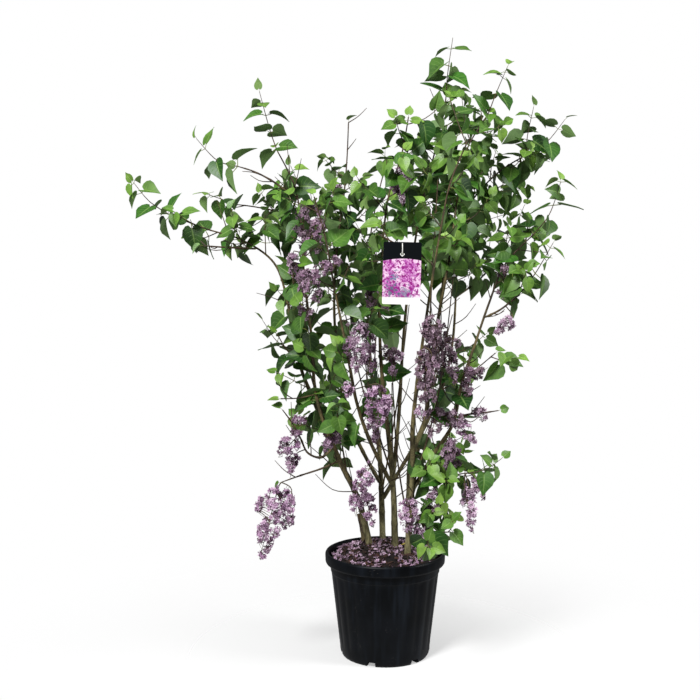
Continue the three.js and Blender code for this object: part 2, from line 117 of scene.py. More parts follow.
def softbox(name, place, aim, size, power):
    lamp = bpy.data.lights.new(name, "AREA")
    lamp.shape = "DISK"
    lamp.size = size
    lamp.energy = power
    stand = add_object(name, lamp)
    stand.location = place
    stand.rotation_euler = (Vector(aim) - Vector(place)).to_track_quat("-Z", "Y").to_euler()


softbox("key light", place=(-1.5, -2.6, 3.2), aim=(0, 0, 0.8), size=1.1, power=175)
softbox("side light", place=(2.6, -0.9, 2.2), aim=(0, 0, 0.7), size=1.0, power=60)
print("lamps:", [lamp.name for lamp in bpy.data.lights])

# %% [markdown]
# ## Sums on shader sockets
# A finish is a web of nodes. Written as nodes it is hard to read, so a small class wraps a socket and turns
# Python's own operators into Math nodes: `1 - mask * 0.4` adds the nodes and the links for that sum.


# %% A finish and its sockets
class Reading:
    """What comes out of a socket, for use in Python sums."""

    def __init__(self, finish, socket):
        self.finish = finish
        self.socket = socket

    def sum(self, operation, *rest):
        return self.finish.node("ShaderNodeMath", {"operation": operation}, dict(enumerate((self, *rest))))

    def __add__(self, other):
        return self.sum("ADD", other)

    def __sub__(self, other):
        return self.sum("SUBTRACT", other)

    def __rsub__(self, other):
        return self.finish.node("ShaderNodeMath", {"operation": "SUBTRACT"}, {0: other, 1: self})

    def __mul__(self, other):
        return self.sum("MULTIPLY", other)

    def __pow__(self, other):
        return self.sum("POWER", other)

    def __abs__(self):
        return self.sum("ABSOLUTE")

    __radd__ = __add__
    __rmul__ = __mul__

    def ease(self, low, high):
        """0 below low and 1 above high, with a soft step between; low may be the larger one."""
        return self.finish.node("ShaderNodeMapRange", {"interpolation_type": "SMOOTHSTEP"},
                                {0: self, 1: low, 2: high, 3: 0.0, 4: 1.0})


class Finish:
    """A material, built from readings."""

    def __init__(self, name, roughness=0.5):
        self.material = bpy.data.materials.new(name)
        self.material.use_nodes = True
        self.tree = self.material.node_tree
        self.surface = self.tree.nodes["Principled BSDF"]
        self.surface.inputs["Roughness"].default_value = roughness

    def node(self, kind, settings=None, sockets=None, out=0):
        node = self.tree.nodes.new(kind)
        for setting, value in (settings or {}).items():
            setattr(node, setting, value)
        for key, value in (sockets or {}).items():
            self.feed(node.inputs[key], value)
        return Reading(self, node.outputs[out])

    def feed(self, socket, value):
        if isinstance(value, Reading):
            self.tree.links.new(value.socket, socket)
        else:
            socket.default_value = value

    def mix(self, mask, low, high):
        """The colour low where mask is 0 and high where it is 1."""
        return self.node("ShaderNodeMix", {"data_type": "RGBA"}, {0: mask, 6: low, 7: high}, out=2)

    def place(self, scale=(1, 1, 1)):
        """The place on the piece, in metres times scale."""
        coordinates = self.node("ShaderNodeTexCoord", out="Object")
        return self.node("ShaderNodeMapping", {}, {"Vector": coordinates, "Scale": scale})

    def noise(self, scale, detail=3.0, stretch=(1, 1, 1)):
        return self.node("ShaderNodeTexNoise", {},
                         {"Vector": self.place(stretch), "Scale": scale, "Detail": detail})

    def mark(self, name):
        """A number that the piece's mesh carries at its vertices."""
        return self.node("ShaderNodeAttribute", {"attribute_name": name}, out="Fac")

    def bump(self, height, depth):
        normal = self.node("ShaderNodeBump", {}, {"Height": height, "Distance": depth})
        self.feed(self.surface.inputs["Normal"], normal)

    def set(self, **inputs):
        for name, value in inputs.items():
            self.feed(self.surface.inputs[name.replace("_", " ")], value)


def rgb(red, green, blue):
    """A colour from its display values, 0 to 255, as shaders take it."""
    steps = [value / 255 for value in (red, green, blue)]
    return [c / 12.92 if c <= 0.04045 else ((c + 0.055) / 1.055) ** 2.4 for c in steps] + [1.0]


# %% The floor
FLOOR_RADIUS = 9
FADE_START, FADE_END = -0.7, 1.1  # the distances from the pot between which the floor fades out, in metres


def as_mesh(shape, name):
    """The mesh of a bmesh, which is used up."""
    mesh = bpy.data.meshes.new(name)
    shape.to_mesh(mesh)
    shape.free()
    return mesh


floor_finish = Finish("pale floor", roughness=0.9)
floor_finish.set(Base_Color=(0.93, 0.93, 0.93, 1))
floor_finish.surface.inputs["Specular IOR Level"].default_value = 0.0
from_pot = floor_finish.node("ShaderNodeVectorMath", {"operation": "LENGTH"},
                             {0: floor_finish.place()}, out="Value")
clear = floor_finish.node("ShaderNodeBsdfTransparent")
fading = floor_finish.node("ShaderNodeMixShader", {}, {0: from_pot.ease(FADE_START, FADE_END), 2: clear})
floor_finish.tree.links.new(floor_finish.surface.outputs[0], fading.socket.node.inputs[1])
floor_finish.tree.links.new(fading.socket, floor_finish.tree.nodes["Material Output"].inputs["Surface"])
ground = bmesh.new()
bmesh.ops.create_circle(ground, cap_ends=True, segments=96, radius=FLOOR_RADIUS)
floor_mesh = as_mesh(ground, "floor")
floor_mesh.materials.append(floor_finish.material)
floor = add_object("floor", floor_mesh)
print("the floor is", 2 * FLOOR_RADIUS, "m across")

# %% [markdown]
# ## Pieces, stamps and rods
# A piece is finished when its mesh is in the frame, its object sits at the origin, and it rides on the
# body. `Heap` is a mesh that grows as small templates are stamped into it. Each stamp can carry marks,
# numbers at its vertices such as how young a leaf is, which the finishes read.


# %% Finishing a piece
def finish_piece(name, shape, finish, stands_for=(), smooth_below=40):
    """Makes a shape a piece. Edges that turn by less than smooth_below degrees are shaded smooth."""
    mesh = as_mesh(shape, name)
    mesh.materials.append(finish.material)
    mesh.shade_smooth()
    mesh.set_sharp_from_angle(angle=math.radians(smooth_below))
    piece = add_object(name, mesh)
    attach(piece, "root")
    if stands_for:
        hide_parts(*stands_for)
    print(name, "has", len(mesh.polygons), "faces")
    return piece


class Heap:
    """A mesh that grows by stamps."""

    def __init__(self):
        self.shape = bmesh.new()
        self.count = 0

    def stamp(self, template, matrix, **marks):
        copy = template.copy()
        copy.transform(matrix)
        self.add(copy, **marks)

    def add(self, copy, **marks):
        for name, value in marks.items():
            if name not in copy.attributes:
                copy.attributes.new(name, "FLOAT", "POINT")
            copy.attributes[name].data.foreach_set("value", [value] * len(copy.vertices))
        self.shape.from_mesh(copy)
        bpy.data.meshes.remove(copy)
        self.count += 1


# %% [markdown]
# A rod is a round bar bent along a path: a cane, a twig, a leaf stalk. It starts as a cone with both ends
# capped. Cutting its long edges gives a ring for each place on the path, and each ring is then moved there,
# turned across the path and scaled to the girth that the rod has at that place.


# %% Paths
FINE_STEPS = 16


def smooth_path(points, spacing):
    """Evenly spaced places on a smooth line through a few points."""
    fine = []
    last = len(points) - 1
    for i in range(last):
        a, b, c, d = (points[min(max(k, 0), last)] for k in (i - 1, i, i + 1, i + 2))
        for step in range(FINE_STEPS):
            t = step / FINE_STEPS
            fine.append(0.5 * (2 * b + (c - a) * t + (2 * a - 5 * b + 4 * c - d) * t * t
                               + (3 * b - a - 3 * c + d) * t ** 3))
    fine.append(points[last].copy())
    lengths = [0.0]
    for a, b in zip(fine, fine[1:]):
        lengths.append(lengths[-1] + (b - a).length)
    count = max(2, round(lengths[-1] / spacing))
    path = []
    k = 0
    for step in range(count + 1):
        goal = lengths[-1] * step / count
        while k < len(lengths) - 2 and lengths[k + 1] < goal:
            k += 1
        share = (goal - lengths[k]) / max(lengths[k + 1] - lengths[k], 1e-9)
        path.append(fine[k].lerp(fine[k + 1], min(share, 1.0)))
    return path


def heading(path, i):
    """The direction in which a path runs at one of its places."""
    return (path[min(i + 1, len(path) - 1)] - path[max(i - 1, 0)]).normalized()


def any_side(direction):
    side = direction.cross(UP)
    if side.length < 0.05:
        side = direction.cross(Vector((0, 1, 0)))
    return side.normalized()


# %% Rods
blank_rods = {}


def blank_rod(sides, rings):
    """A straight rod, made once for each number of sides and rings."""
    if (sides, rings) not in blank_rods:
        bar = bmesh.new()
        bmesh.ops.create_cone(bar, cap_ends=True, segments=sides, radius1=1, radius2=1, depth=1)
        uprights = [edge for edge in bar.edges if abs(edge.verts[0].co.z - edge.verts[1].co.z) > 0.5]
        bmesh.ops.subdivide_edges(bar, edges=uprights, cuts=rings - 2)
        blank_rods[sides, rings] = as_mesh(bar, "blank rod")
    return blank_rods[sides, rings]


def rod(path, girth, sides):
    """A closed rod along a path. girth gives its radius at a share of its length."""
    last = len(path) - 1
    mesh = blank_rod(sides, len(path)).copy()
    side = any_side(heading(path, 0))
    turns = []
    for i in range(len(path)):
        ahead = heading(path, i)
        side = (side - ahead * side.dot(ahead)).normalized()
        turns.append((side, ahead.cross(side)))
    for vertex in mesh.vertices:
        ring = round((vertex.co.z + 0.5) * last)
        across, over = turns[ring]
        radius = girth(ring / last)
        vertex.co = path[ring] + across * (vertex.co.x * radius) + over * (vertex.co.y * radius)
    return mesh


# %% [markdown]
# ## Reading the wood from the frame
# The frame's canes and branches are plain tubes with a ring of corners every few centimetres. Sorted by
# their distance from the tube's foot, the corners fall into groups, one for each ring. A group's middle is
# a place on the cane's centre line, and its corners' distance from there is the cane's radius.


# %% Centre lines of the canes and branches
CANE_RING_GAP, BRANCH_RING_GAP = 30 * MM, 12 * MM  # corners that are further apart than this are on two rings
CANE_STEP, BRANCH_STEP = 9 * MM, 7 * MM
FOOT_LIMIT = 1.2  # how much thicker than its third ring a foot may be read


def read_tube(node, foot, ring_gap):
    """The middles and radii of a tube's rings, from its foot on."""
    corners = {tuple(round(c, 5) for c in vertex.co) for vertex in nodes[node].data.vertices}
    ordered = sorted((Vector(corner) for corner in corners), key=lambda corner: (corner - foot).length)
    rings = [[ordered[0]]]
    for corner in ordered[1:]:
        if (corner - foot).length - (rings[-1][-1] - foot).length > ring_gap:
            rings.append([])
        rings[-1].append(corner)
    middles = [sum(ring, Vector()) / len(ring) for ring in rings]
    radii = [sum((corner - middle).length for corner in ring) / len(ring)
             for ring, middle in zip(rings, middles)]
    return middles, radii


def lowest_corner(node):
    return min((vertex.co for vertex in nodes[node].data.vertices), key=lambda place: place.z).copy()


cane_names = sorted(name for name in nodes if name.startswith("cane_"))
branch_names = sorted(name for name in nodes if name.startswith("branch_"))
wood = {}
for name in [*cane_names, "pruned_stub"]:
    middles, radii = read_tube(name, lowest_corner(name), CANE_RING_GAP)
    wood[name] = (smooth_path(middles, CANE_STEP), radii)


def even_foot(radii):
    """The radii without the swollen readings that the cut end at a foot gives."""
    limit = FOOT_LIMIT * radii[min(2, len(radii) - 1)]
    return [min(radius, limit) for radius in radii]


rising = [name for name in cane_names if wood[name][0][0].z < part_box("pot")[1].z]
for name in cane_names:
    if name not in rising:
        path, radii = wood[name]
        start = min((place for trunk in rising for place in wood[trunk][0]),
                    key=lambda place: (place - path[0]).length)
        wood[name] = ([start.copy(), *path], even_foot(radii))
cane_places = [place for name in cane_names for place in wood[name][0]]
for name in branch_names:
    corners = [vertex.co for vertex in nodes[name].data.vertices]
    foot = min(corners, key=lambda corner: min((corner - place).length for place in cane_places)).copy()
    middles, radii = read_tube(name, foot, BRANCH_RING_GAP)
    start = min(cane_places, key=lambda place: (place - foot).length)
    wood[name] = (smooth_path([start, *middles], BRANCH_STEP), even_foot(radii))
print("canes from the ground:", rising)
print("rings read:", {name: len(radii) for name, (_, radii) in wood.items()})

# %% [markdown]
# ## Bark
# Old lilac bark near the ground is grey-tan and shallowly furrowed along the cane. Higher up it turns olive
# and smooth, with small pale pores, and the newest twigs are a dark red-brown. The mark `age` runs from 1
# at an old foot to 0 at a young tip, and the finish blends the three looks by it.

# %% The bark finish
bark = Finish("lilac bark", roughness=0.8)
age = bark.mark("age")
furrows = bark.noise(420, detail=5, stretch=(1, 1, 0.14))
blotches = bark.noise(55, detail=4, stretch=(1, 1, 0.4))
pore_cells = bark.node("ShaderNodeTexVoronoi", {}, {"Vector": bark.place((1, 1, 0.45)), "Scale": 330})
pores = pore_cells.ease(0.2, 0.08)
young_wood = bark.mix(blotches.ease(0.35, 0.65), rgb(48, 32, 24), rgb(84, 62, 40))
green_wood = bark.mix(blotches.ease(0.35, 0.65), rgb(66, 58, 34), rgb(128, 114, 72))
old_wood = bark.mix(blotches.ease(0.35, 0.65), rgb(72, 68, 42), rgb(152, 146, 104))
wood_colour = bark.mix(age.ease(0.12, 0.42), young_wood, green_wood)
wood_colour = bark.mix(age.ease(0.55, 0.95), wood_colour, old_wood)
# painted shade: the bark is darkened in its furrows, where the bump sinks
wood_colour = bark.mix(furrows.ease(0.56, 0.36) * 0.55, wood_colour, rgb(52, 42, 28))
wood_colour = bark.mix(pores * 0.6, wood_colour, rgb(190, 178, 140))
bark.set(Base_Color=wood_colour, Roughness=0.9 - 0.25 * (1 - age))
bark.bump(furrows + pores * 0.5, 0.6 * MM)
print("bark has", len(bark.tree.nodes), "nodes")

# %% [markdown]
# A cane isn't a plain taper. Each pair of buds leaves a slight swelling, and the bark between them is a
# little uneven. The girth given to the rod adds both to the taper that the frame's tube has.

# %% The canes
SWELLING_GAP = 62 * MM
CANE_SWELLING, BRANCH_SWELLING = 0.13, 0.3
UNEVENNESS = 0.04
CANE_SIDES, BRANCH_SIDES = 10, 7
# how old the wood is at the foot and at the tip
TRUNK_AGES, FORK_AGES, BRANCH_AGES = (1.0, 0.1), (0.8, 0.05), (0.32, 0.05)


def wood_girth(length, radii, swelling):
    phase = chance.uniform(0, 1)
    last = len(radii) - 1

    def girth(share):
        ring = min(int(share * last), last - 1)
        taper = radii[ring] + (radii[ring + 1] - radii[ring]) * (share * last - ring)
        beat = abs((share * length / SWELLING_GAP + phase) % 1 - 0.5) * 2
        lump = 1 + swelling * max(0.0, 1 - beat * 5)
        return taper * lump * (1 + UNEVENNESS * math.sin(37 * share + 9 * phase))

    return girth


def mark_age(mesh, path, oldest, youngest):
    """Writes how old the wood is, from its foot to its tip, at each corner of a rod."""
    share = [min(range(0, len(path), 4), key=lambda i: (path[i] - vertex.co).length) / (len(path) - 1)
             for vertex in mesh.vertices]
    ages = mesh.attributes.new("age", "FLOAT", "POINT")
    ages.data.foreach_set("value", [oldest + (youngest - oldest) * s for s in share])
    return mesh


def path_length(path):
    return sum((b - a).length for a, b in zip(path, path[1:]))


for name, (path, radii) in wood.items():
    heap = Heap()
    on_branch = name in branch_names
    girth = wood_girth(path_length(path), radii, BRANCH_SWELLING if on_branch else CANE_SWELLING)
    ages = BRANCH_AGES if on_branch else TRUNK_AGES if name in rising else FORK_AGES
    heap.add(mark_age(rod(path, girth, BRANCH_SIDES if on_branch else CANE_SIDES), path, *ages))
    finish_piece(f"{name}_bark", heap.shape, bark, [name])

# %% [markdown]
# Between the canes stand thin young stems, bare for most of their height. Each one leaves a cane low down,
# keeps roughly to the cane's heading and leans a little its own way. They are dark and nearly straight.

# %% Thin stems
STEM_COUNT = 16
STEM_START = (0.05, 0.42)  # the share of a cane's length between which stems leave it
STEM_REACH = (240, 520)
STEM_LEAN = 0.3
STEM_BOW = 14
STEM_STEP = 20 * MM
STEM_AGES = (0.3, 0.05)


def wander(amount):
    """A small random move, up to an amount each way."""
    return Vector([chance.uniform(-amount, amount) for _ in range(3)])


def stem_girth(share):
    return (2.4 - 1.3 * share) * MM


thin_stems = []
stem_heap = Heap()
for _ in range(STEM_COUNT):
    path, _ = wood[chance.choice(rising)]
    i = round(chance.uniform(*STEM_START) * (len(path) - 1))
    lean = (heading(path, i) + wander(STEM_LEAN) + UP * 0.4).normalized()
    reach = chance.uniform(*STEM_REACH) * MM
    middle = path[i] + lean * reach / 2 + wander(STEM_BOW * MM)
    tip = path[i] + lean * reach + UP * 0.1 * reach
    stem = smooth_path([path[i], middle, tip], STEM_STEP)
    stem_heap.add(mark_age(rod(stem, stem_girth, BRANCH_SIDES), stem, *STEM_AGES))
    thin_stems.append((stem, []))
finish_piece("thin_stems", stem_heap.shape, bark)

# %% [markdown]
# ## The leaf
# A lilac leaf is heart-shaped with a drawn-out point, a little folded along its midrib, and it droops from
# a thin stalk. It starts as a small grid. Each row of the grid is pulled to the leaf's half-width there,
# the first row is pulled back into the two lobes, and then the blade is folded, curled and given its
# thickness. A few differently bent leaves are enough: turned at random, no two look alike.

# %% Leaf templates
LEAF_HALF_WIDTH = 0.45
LEAF_THICKNESS = 0.008
STALK_LENGTH = 0.32
LOBE_DEPTH = 0.17


def half_width(along):
    return LEAF_HALF_WIDTH * math.sin(math.pi * (0.2 + 0.8 * along ** 0.8)) ** (1 + 0.5 * along)


def leaf_template(fold, curl, droop, wave):
    """A leaf one unit long from the foot of its blade to its tip, on a stalk from the origin."""
    blade = bmesh.new()
    blade.loops.layers.uv.new("leaf")
    under = blade.verts.layers.float.new("under")
    stalk_mark = blade.verts.layers.float.new("stalk")
    bmesh.ops.create_grid(blade, x_segments=4, y_segments=5, size=1, calc_uvs=True)
    for vertex in blade.verts:
        side, along = vertex.co.x, ((vertex.co.y + 1) / 2) ** 1.3
        lobe = -LOBE_DEPTH * math.sin(math.pi * 0.75 * abs(side)) * (1 - along) ** 3
        across = side * half_width(along)
        rise = abs(across) * fold + wave * abs(side) * math.sin(7 * along + 2 * side)
        vertex.co = (across, along + lobe, rise)
    bmesh.ops.remove_doubles(blade, verts=blade.verts, dist=0.004)
    bmesh.ops.recalc_face_normals(blade, faces=blade.faces)
    if sum(face.normal.z for face in blade.faces) < 0:
        bmesh.ops.reverse_faces(blade, faces=blade.faces)
    shell = bmesh.ops.solidify(blade, geom=blade.faces[:], thickness=LEAF_THICKNESS)
    inner = [item for item in shell["geom"] if isinstance(item, bmesh.types.BMVert)]
    for vertex in inner:
        vertex[under] = 1.0
    for vertex in blade.verts:
        along = max(vertex.co.y, 0.0)
        bend = curl * along * along
        place = Vector((vertex.co.x, vertex.co.y, vertex.co.z - bend))
        vertex.co = Matrix.Rotation(-droop, 3, "X") @ place
        vertex.co.y += STALK_LENGTH
    made = bmesh.ops.create_cone(blade, cap_ends=True, segments=4, radius1=0.022, radius2=0.016,
                                 depth=STALK_LENGTH * 1.06)
    stalk = made["verts"]
    bmesh.ops.rotate(blade, verts=stalk, cent=(0, 0, 0), matrix=Matrix.Rotation(math.radians(-90), 3, "X"))
    bmesh.ops.translate(blade, verts=stalk, vec=(0, STALK_LENGTH * 0.52, -0.012))
    for vertex in stalk:
        vertex[stalk_mark] = 1.0
    return as_mesh(blade, "leaf template")


leaf_templates = [
    leaf_template(fold=0.25, curl=0.12, droop=0.5, wave=0.010),
    leaf_template(fold=0.45, curl=0.22, droop=0.9, wave=0.016),
    leaf_template(fold=0.15, curl=0.05, droop=0.25, wave=0.022),
    leaf_template(fold=0.70, curl=0.16, droop=0.7, wave=0.008),
    leaf_template(fold=0.32, curl=0.34, droop=0.35, wave=0.014),
]
print("a leaf has", len(leaf_templates[0].polygons), "faces")

# %% [markdown]
# The finish gives each leaf its veins from its own map, which runs across the blade from 0 to 1 and along
# it from 0 to 1: a pale midrib, and side veins that leave it in arcs towards the tip. Between the veins
# the blade is slightly quilted. Young leaves are a thin yellow green, old ones deep and glossy, and every
# underside is paler and dull.

# %% The leaf finish
leaf = Finish("lilac leaf", roughness=0.42)
leaf_map = leaf.node("ShaderNodeUVMap", {"uv_map": "leaf"})
parts = leaf.node("ShaderNodeSeparateXYZ", {}, {0: leaf_map})
along = Reading(leaf, parts.socket.node.outputs["Y"])
aside = abs(parts - 0.5) * 2
young = leaf.mark("young")
tone = leaf.mark("tone")
underside = leaf.mark("under")
midrib = aside.ease(0.12, 0.02)
vein_beat = leaf.node("ShaderNodeMath", {"operation": "FRACT"}, {0: along * 6.5 - aside * 1.7 + 0.3})
side_veins = abs(vein_beat - 0.5).ease(0.09, 0.01) * aside.ease(1.0, 0.5)
veins = leaf.node("ShaderNodeMath", {"operation": "MAXIMUM"}, {0: midrib, 1: side_veins * 0.6})
mottle = leaf.noise(55, detail=3)
mature = leaf.mix(tone, rgb(15, 51, 9), rgb(58, 114, 30))
fresh = leaf.mix(tone, rgb(96, 146, 44), rgb(148, 186, 78))
green = leaf.mix(young, mature, fresh)
green = leaf.mix(mottle.ease(0.62, 0.38) * 0.35, green, rgb(20, 58, 22))
green = leaf.mix(veins * 0.5, green, rgb(140, 176, 92))
green = leaf.mix(underside * 0.55, green, rgb(128, 158, 100))
green = leaf.mix(leaf.mark("stalk"), green, rgb(110, 120, 54))
green = leaf.mix(leaf.mark("withered"), green, rgb(214, 190, 84))
leaf.set(Base_Color=green, Roughness=0.4 + 0.25 * underside + 0.1 * mottle)
leaf.bump(mottle * 0.3 - veins, 0.35 * MM)
print("leaf finish has", len(leaf.tree.nodes), "nodes")

# %% [markdown]
# ## Twigs and foliage
# Leaves stand in opposite pairs, and each pair is turned a quarter round the twig from the pair before.
# Pairs are close together and small near a twig's tip. The bush isn't evenly leafy: `LEAFY` lists the
# rounded masses in which its leaves gather, as seen from the front, and twigs that would grow outside them
# are mostly left bare. Where flowers hang, leaves are thinned out in front of them. The masses are written
# for a bush of one size and are stretched to the frame's box, so they stay on the canes if it changes.

# %% Where leaves may be
low, high = cad_box
LABEL_BORDER, PANICLE_BORDER = 34 * MM, -6 * MM  # how far past the outline of each no leaf hangs before it
LEAF_MARGIN = Vector((8, -12, 8)) * MM  # how far past the frame's box the wood and leaves may reach
card_low, card_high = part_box("label_card")
panicle_names = sorted(name for name in nodes if name.startswith("panicle_"))

# the left side, right side and top of the bush for which the masses are written
PLAN_LEFT, PLAN_RIGHT, PLAN_TOP = -612.7 * MM, 477.1 * MM, 1525.7 * MM
stretch_across = (high.x - low.x) / (PLAN_RIGHT - PLAN_LEFT)
stretch_up = high.z / PLAN_TOP
print("the masses are stretched by", round(stretch_across, 3), "across and", round(stretch_up, 3), "up")


def from_plan(across, height):
    """Where a planned place, in mm, lies in the frame."""
    return low.x + (across * MM - PLAN_LEFT) * stretch_across, height * MM * stretch_up


def to_plan(place):
    """Where a place in the frame lies in the plan, in mm."""
    return (PLAN_LEFT + (place.x - low.x) / stretch_across) / MM, place.z / stretch_up / MM


# middle across, middle height, half-width, half-height, all in mm, and how leafy the mass is
LEAFY = [
    (225, 1235, 240, 150, 1.00), (-50, 1285, 130, 90, 0.25), (-45, 1215, 55, 55, 1.00),
    (45, 1235, 60, 60, 0.85), (50, 1180, 130, 120, 0.80), (290, 1150, 70, 60, 1.00),
    (345, 1040, 95, 130, 0.75), (150, 1070, 140, 115, 0.95), (-180, 1090, 140, 95, 0.78),
    (-400, 1110, 150, 60, 0.10), (-420, 985, 80, 50, 0.55), (-300, 1065, 55, 45, 0.90),
    (-190, 850, 100, 165, 0.60), (-70, 960, 110, 150, 0.76), (-250, 1270, 100, 80, 0.05),
    (-150, 590, 60, 90, 0.18), (-130, 640, 45, 50, 0.60), (30, 830, 80, 110, 0.20),
    (10, 640, 110, 130, 0.08), (215, 450, 120, 90, 1.00), (185, 650, 45, 60, 0.45),
    (290, 740, 60, 50, 0.80), (-330, 490, 60, 50, 0.60), (95, 345, 45, 45, 0.50),
    (140, 400, 60, 50, 1.00), (-290, 810, 50, 40, 0.25), (-270, 630, 50, 50, 0.20),
]


def leafiness(place):
    """How leafy the bush is at a place, from 0 to 1."""
    x, z = to_plan(place)
    best = 0.0
    for across, height, wide, tall, amount in LEAFY:
        away = math.hypot((x - across) / wide, (z - height) / tall)
        best = max(best, amount * min(1.0, max(0.0, (1.25 - away) / 0.4)))
    return best


boxes = {name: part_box(name) for name in [*panicle_names, "label_card"]}


def in_front(place, node, border):
    """Whether a place hangs before a node, or within a border of its outline."""
    a, b = boxes[node]
    beside = a.x - border < place.x < b.x + border and a.z - border < place.z < b.z + border
    return beside and place.y < b.y


def hides_label(place):
    return in_front(place, "label_card", LABEL_BORDER)


def hides_flowers(place):
    return any(in_front(place, name, PANICLE_BORDER) for name in panicle_names)


def inside_bush(place):
    return all(low[i] - LEAF_MARGIN[i] < place[i] < high[i] + LEAF_MARGIN[i] for i in range(3))


# %% Placing one leaf
BLADE_AND_STALK = 1.3
THINNED_OUT = 0.85  # the share of the leaves before a panicle that are left out


def face_along(origin, direction, top, size):
    """The matrix that puts a template's Y along direction and turns its Z as near to top as it can."""
    y = direction.normalized()
    x = y.cross(top)
    if x.length < 1e-4:
        x = any_side(y)
    x.normalize()
    z = x.cross(y)
    matrix = Matrix((x, y, z)).transposed().to_4x4()
    return Matrix.Translation(origin) @ matrix @ Matrix.Scale(size, 4)


def add_leaf(heap, origin, direction, size, young):
    tip = origin + direction.normalized() * size * BLADE_AND_STALK
    middle = origin.lerp(tip, 0.6)
    if hides_label(tip) or hides_label(middle) or not inside_bush(tip):
        return
    if hides_flowers(middle) and chance.random() < THINNED_OUT:
        return
    outward = Vector((origin.x, origin.y, 0)).normalized()
    top = outward * 0.45 + UP * 0.7 - Vector((0, 0.25, 0)) + wander(0.6)
    matrix = face_along(origin, direction, top, size)
    heap.stamp(chance.choice(leaf_templates), matrix, young=young, tone=chance.uniform(0, 1))


def add_pair(heap, place, along, turn, size, young):
    side = Matrix.Rotation(turn, 3, along) @ any_side(along)
    for way in (1, -1):
        onward = side * way + along * chance.uniform(0.3, 0.7)
        direction = onward + wander(0.2) - UP * chance.uniform(0.1, 0.6)
        add_leaf(heap, place, direction, size * chance.uniform(0.85, 1.1), young)


# %% Growing twigs
LEAF_SIZE = 55 * MM
PAIR_GAP = 37 * MM
YOUNG_END = 80 * MM  # how much of a twig's end has young leaves
TWIG_STEP = 14 * MM
TWIG_SIDES = 5


def twig_girth(share):
    return (1.5 - 0.8 * share) * MM


def leafy_stretch(heap, path, first, gap, size=LEAF_SIZE, tip_young=0.8, sparse=False):
    """Pairs of leaves along a path from a share of it to its tip, where they are small and young."""
    length = path_length(path)
    turn = chance.uniform(0, math.pi)
    travelled = first * length
    while travelled < length:
        share = travelled / length
        i = min(round(share * (len(path) - 1)), len(path) - 1)
        near_tip = max(0.0, 1 - (length - travelled) / YOUNG_END)
        young = min(1.0, max(0.0, tip_young * near_tip ** 1.5 + chance.uniform(-0.05, 0.2)))
        if not sparse or chance.random() < leafiness(path[i]):
            add_pair(heap, path[i], heading(path, i), turn, size * (1 - 0.42 * near_tip), young)
        turn += math.pi / 2 + chance.uniform(-0.3, 0.3)
        travelled += gap * (1 - 0.4 * near_tip) * chance.uniform(0.8, 1.2)
    add_leaf(heap, path[-1], heading(path, len(path) - 1) + wander(0.2), size * 0.45, tip_young)


def grow_twig(bark_heap, leaf_heap, start, direction, length, first=0.3, gap=PAIR_GAP):
    lift = UP * length * chance.uniform(0.02, 0.3)
    middle = start + direction.normalized() * length * 0.5 + wander(0.06 * length)
    tip = start + direction.normalized() * length + lift
    if hides_label(tip) or hides_label(middle) or not inside_bush(tip):
        return
    path = smooth_path([start, middle, tip], TWIG_STEP)
    twig = rod(path, twig_girth, TWIG_SIDES)
    bark_heap.add(mark_age(twig, path, 0.12, 0.0))
    if leaf_heap is not None:
        leafy_stretch(leaf_heap, path, first, gap)


TWIG_SPACING = 35 * MM
TWIG_REACH = (60, 165)
TWIG_TURN = 2.4  # each twig leaves the wood a little over a third of the way round from the one before
SPARSE_GAP = 50 * MM
FIRST_TWIG = 330 * MM  # how high above the ground the lowest twigs are
BARE_TWIGS = 0.45  # how often a twig outside the leafy masses grows at all


def grow_foliage(name, bark_heap, leaf_heap):
    """Twigs round a cane or branch, leafy in the leafy masses and now and then bare elsewhere."""
    path = wood[name][0]
    length = path_length(path)
    travelled = 30 * MM
    turn = chance.uniform(0, math.tau)
    while travelled < length:
        i = round(travelled / length * (len(path) - 1))
        place, ahead = path[i], heading(path, i)
        turn += TWIG_TURN + chance.uniform(-0.4, 0.4)
        travelled += TWIG_SPACING * chance.uniform(0.7, 1.3)
        side = Matrix.Rotation(turn, 3, ahead) @ any_side(ahead)
        outward = Vector((place.x, place.y, 0)).normalized()
        direction = side + ahead * 0.5 + outward * 0.3 + UP * 0.15
        reach = chance.uniform(*TWIG_REACH) * MM * (1 - 0.35 * travelled / length)
        leafy = leafiness(place + direction.normalized() * reach * 0.7)
        if place.z < FIRST_TWIG:
            continue
        if chance.random() < leafy:
            grow_twig(bark_heap, leaf_heap, place, direction, reach)
        elif chance.random() < BARE_TWIGS:
            grow_twig(bark_heap, None, place, direction, reach * 0.8)
    leafy_stretch(leaf_heap, path, 0.3, SPARSE_GAP, sparse=True)


# %% The foliage
SHOOT_GAP = 38 * MM
SHOOT_REACH = 1.6  # a shoot's length, from the distance between its start and its middle in the frame
shoot_names = sorted(name for name in nodes if name.startswith("leafy_shoot_"))


def box_middle(name):
    a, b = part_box(name)
    return (a + b) / 2


shoots_of = {name: [] for name in [*cane_names, *branch_names]}
for shoot in shoot_names:
    middle = box_middle(shoot)
    bearer = min(shoots_of, key=lambda name: (wood[name][0][-1] - middle).length)
    shoots_of[bearer].append(shoot)

leaf_total = 0
for name in shoots_of:
    twig_heap, leaf_heap = Heap(), Heap()
    grow_foliage(name, twig_heap, leaf_heap)
    for shoot in shoots_of[name]:
        tip = wood[name][0][-1]
        onward = box_middle(shoot) - tip
        reach = SHOOT_REACH * onward.length
        grow_twig(twig_heap, leaf_heap, tip, onward, reach, first=0.05, gap=SHOOT_GAP)
    leaf_total += leaf_heap.count
    if twig_heap.count:
        finish_piece(f"{name}_twigs", twig_heap.shape, bark)
    if leaf_heap.count:
        finish_piece(f"{name}_leaves", leaf_heap.shape, leaf, shoots_of[name])
print("leaves:", leaf_total)

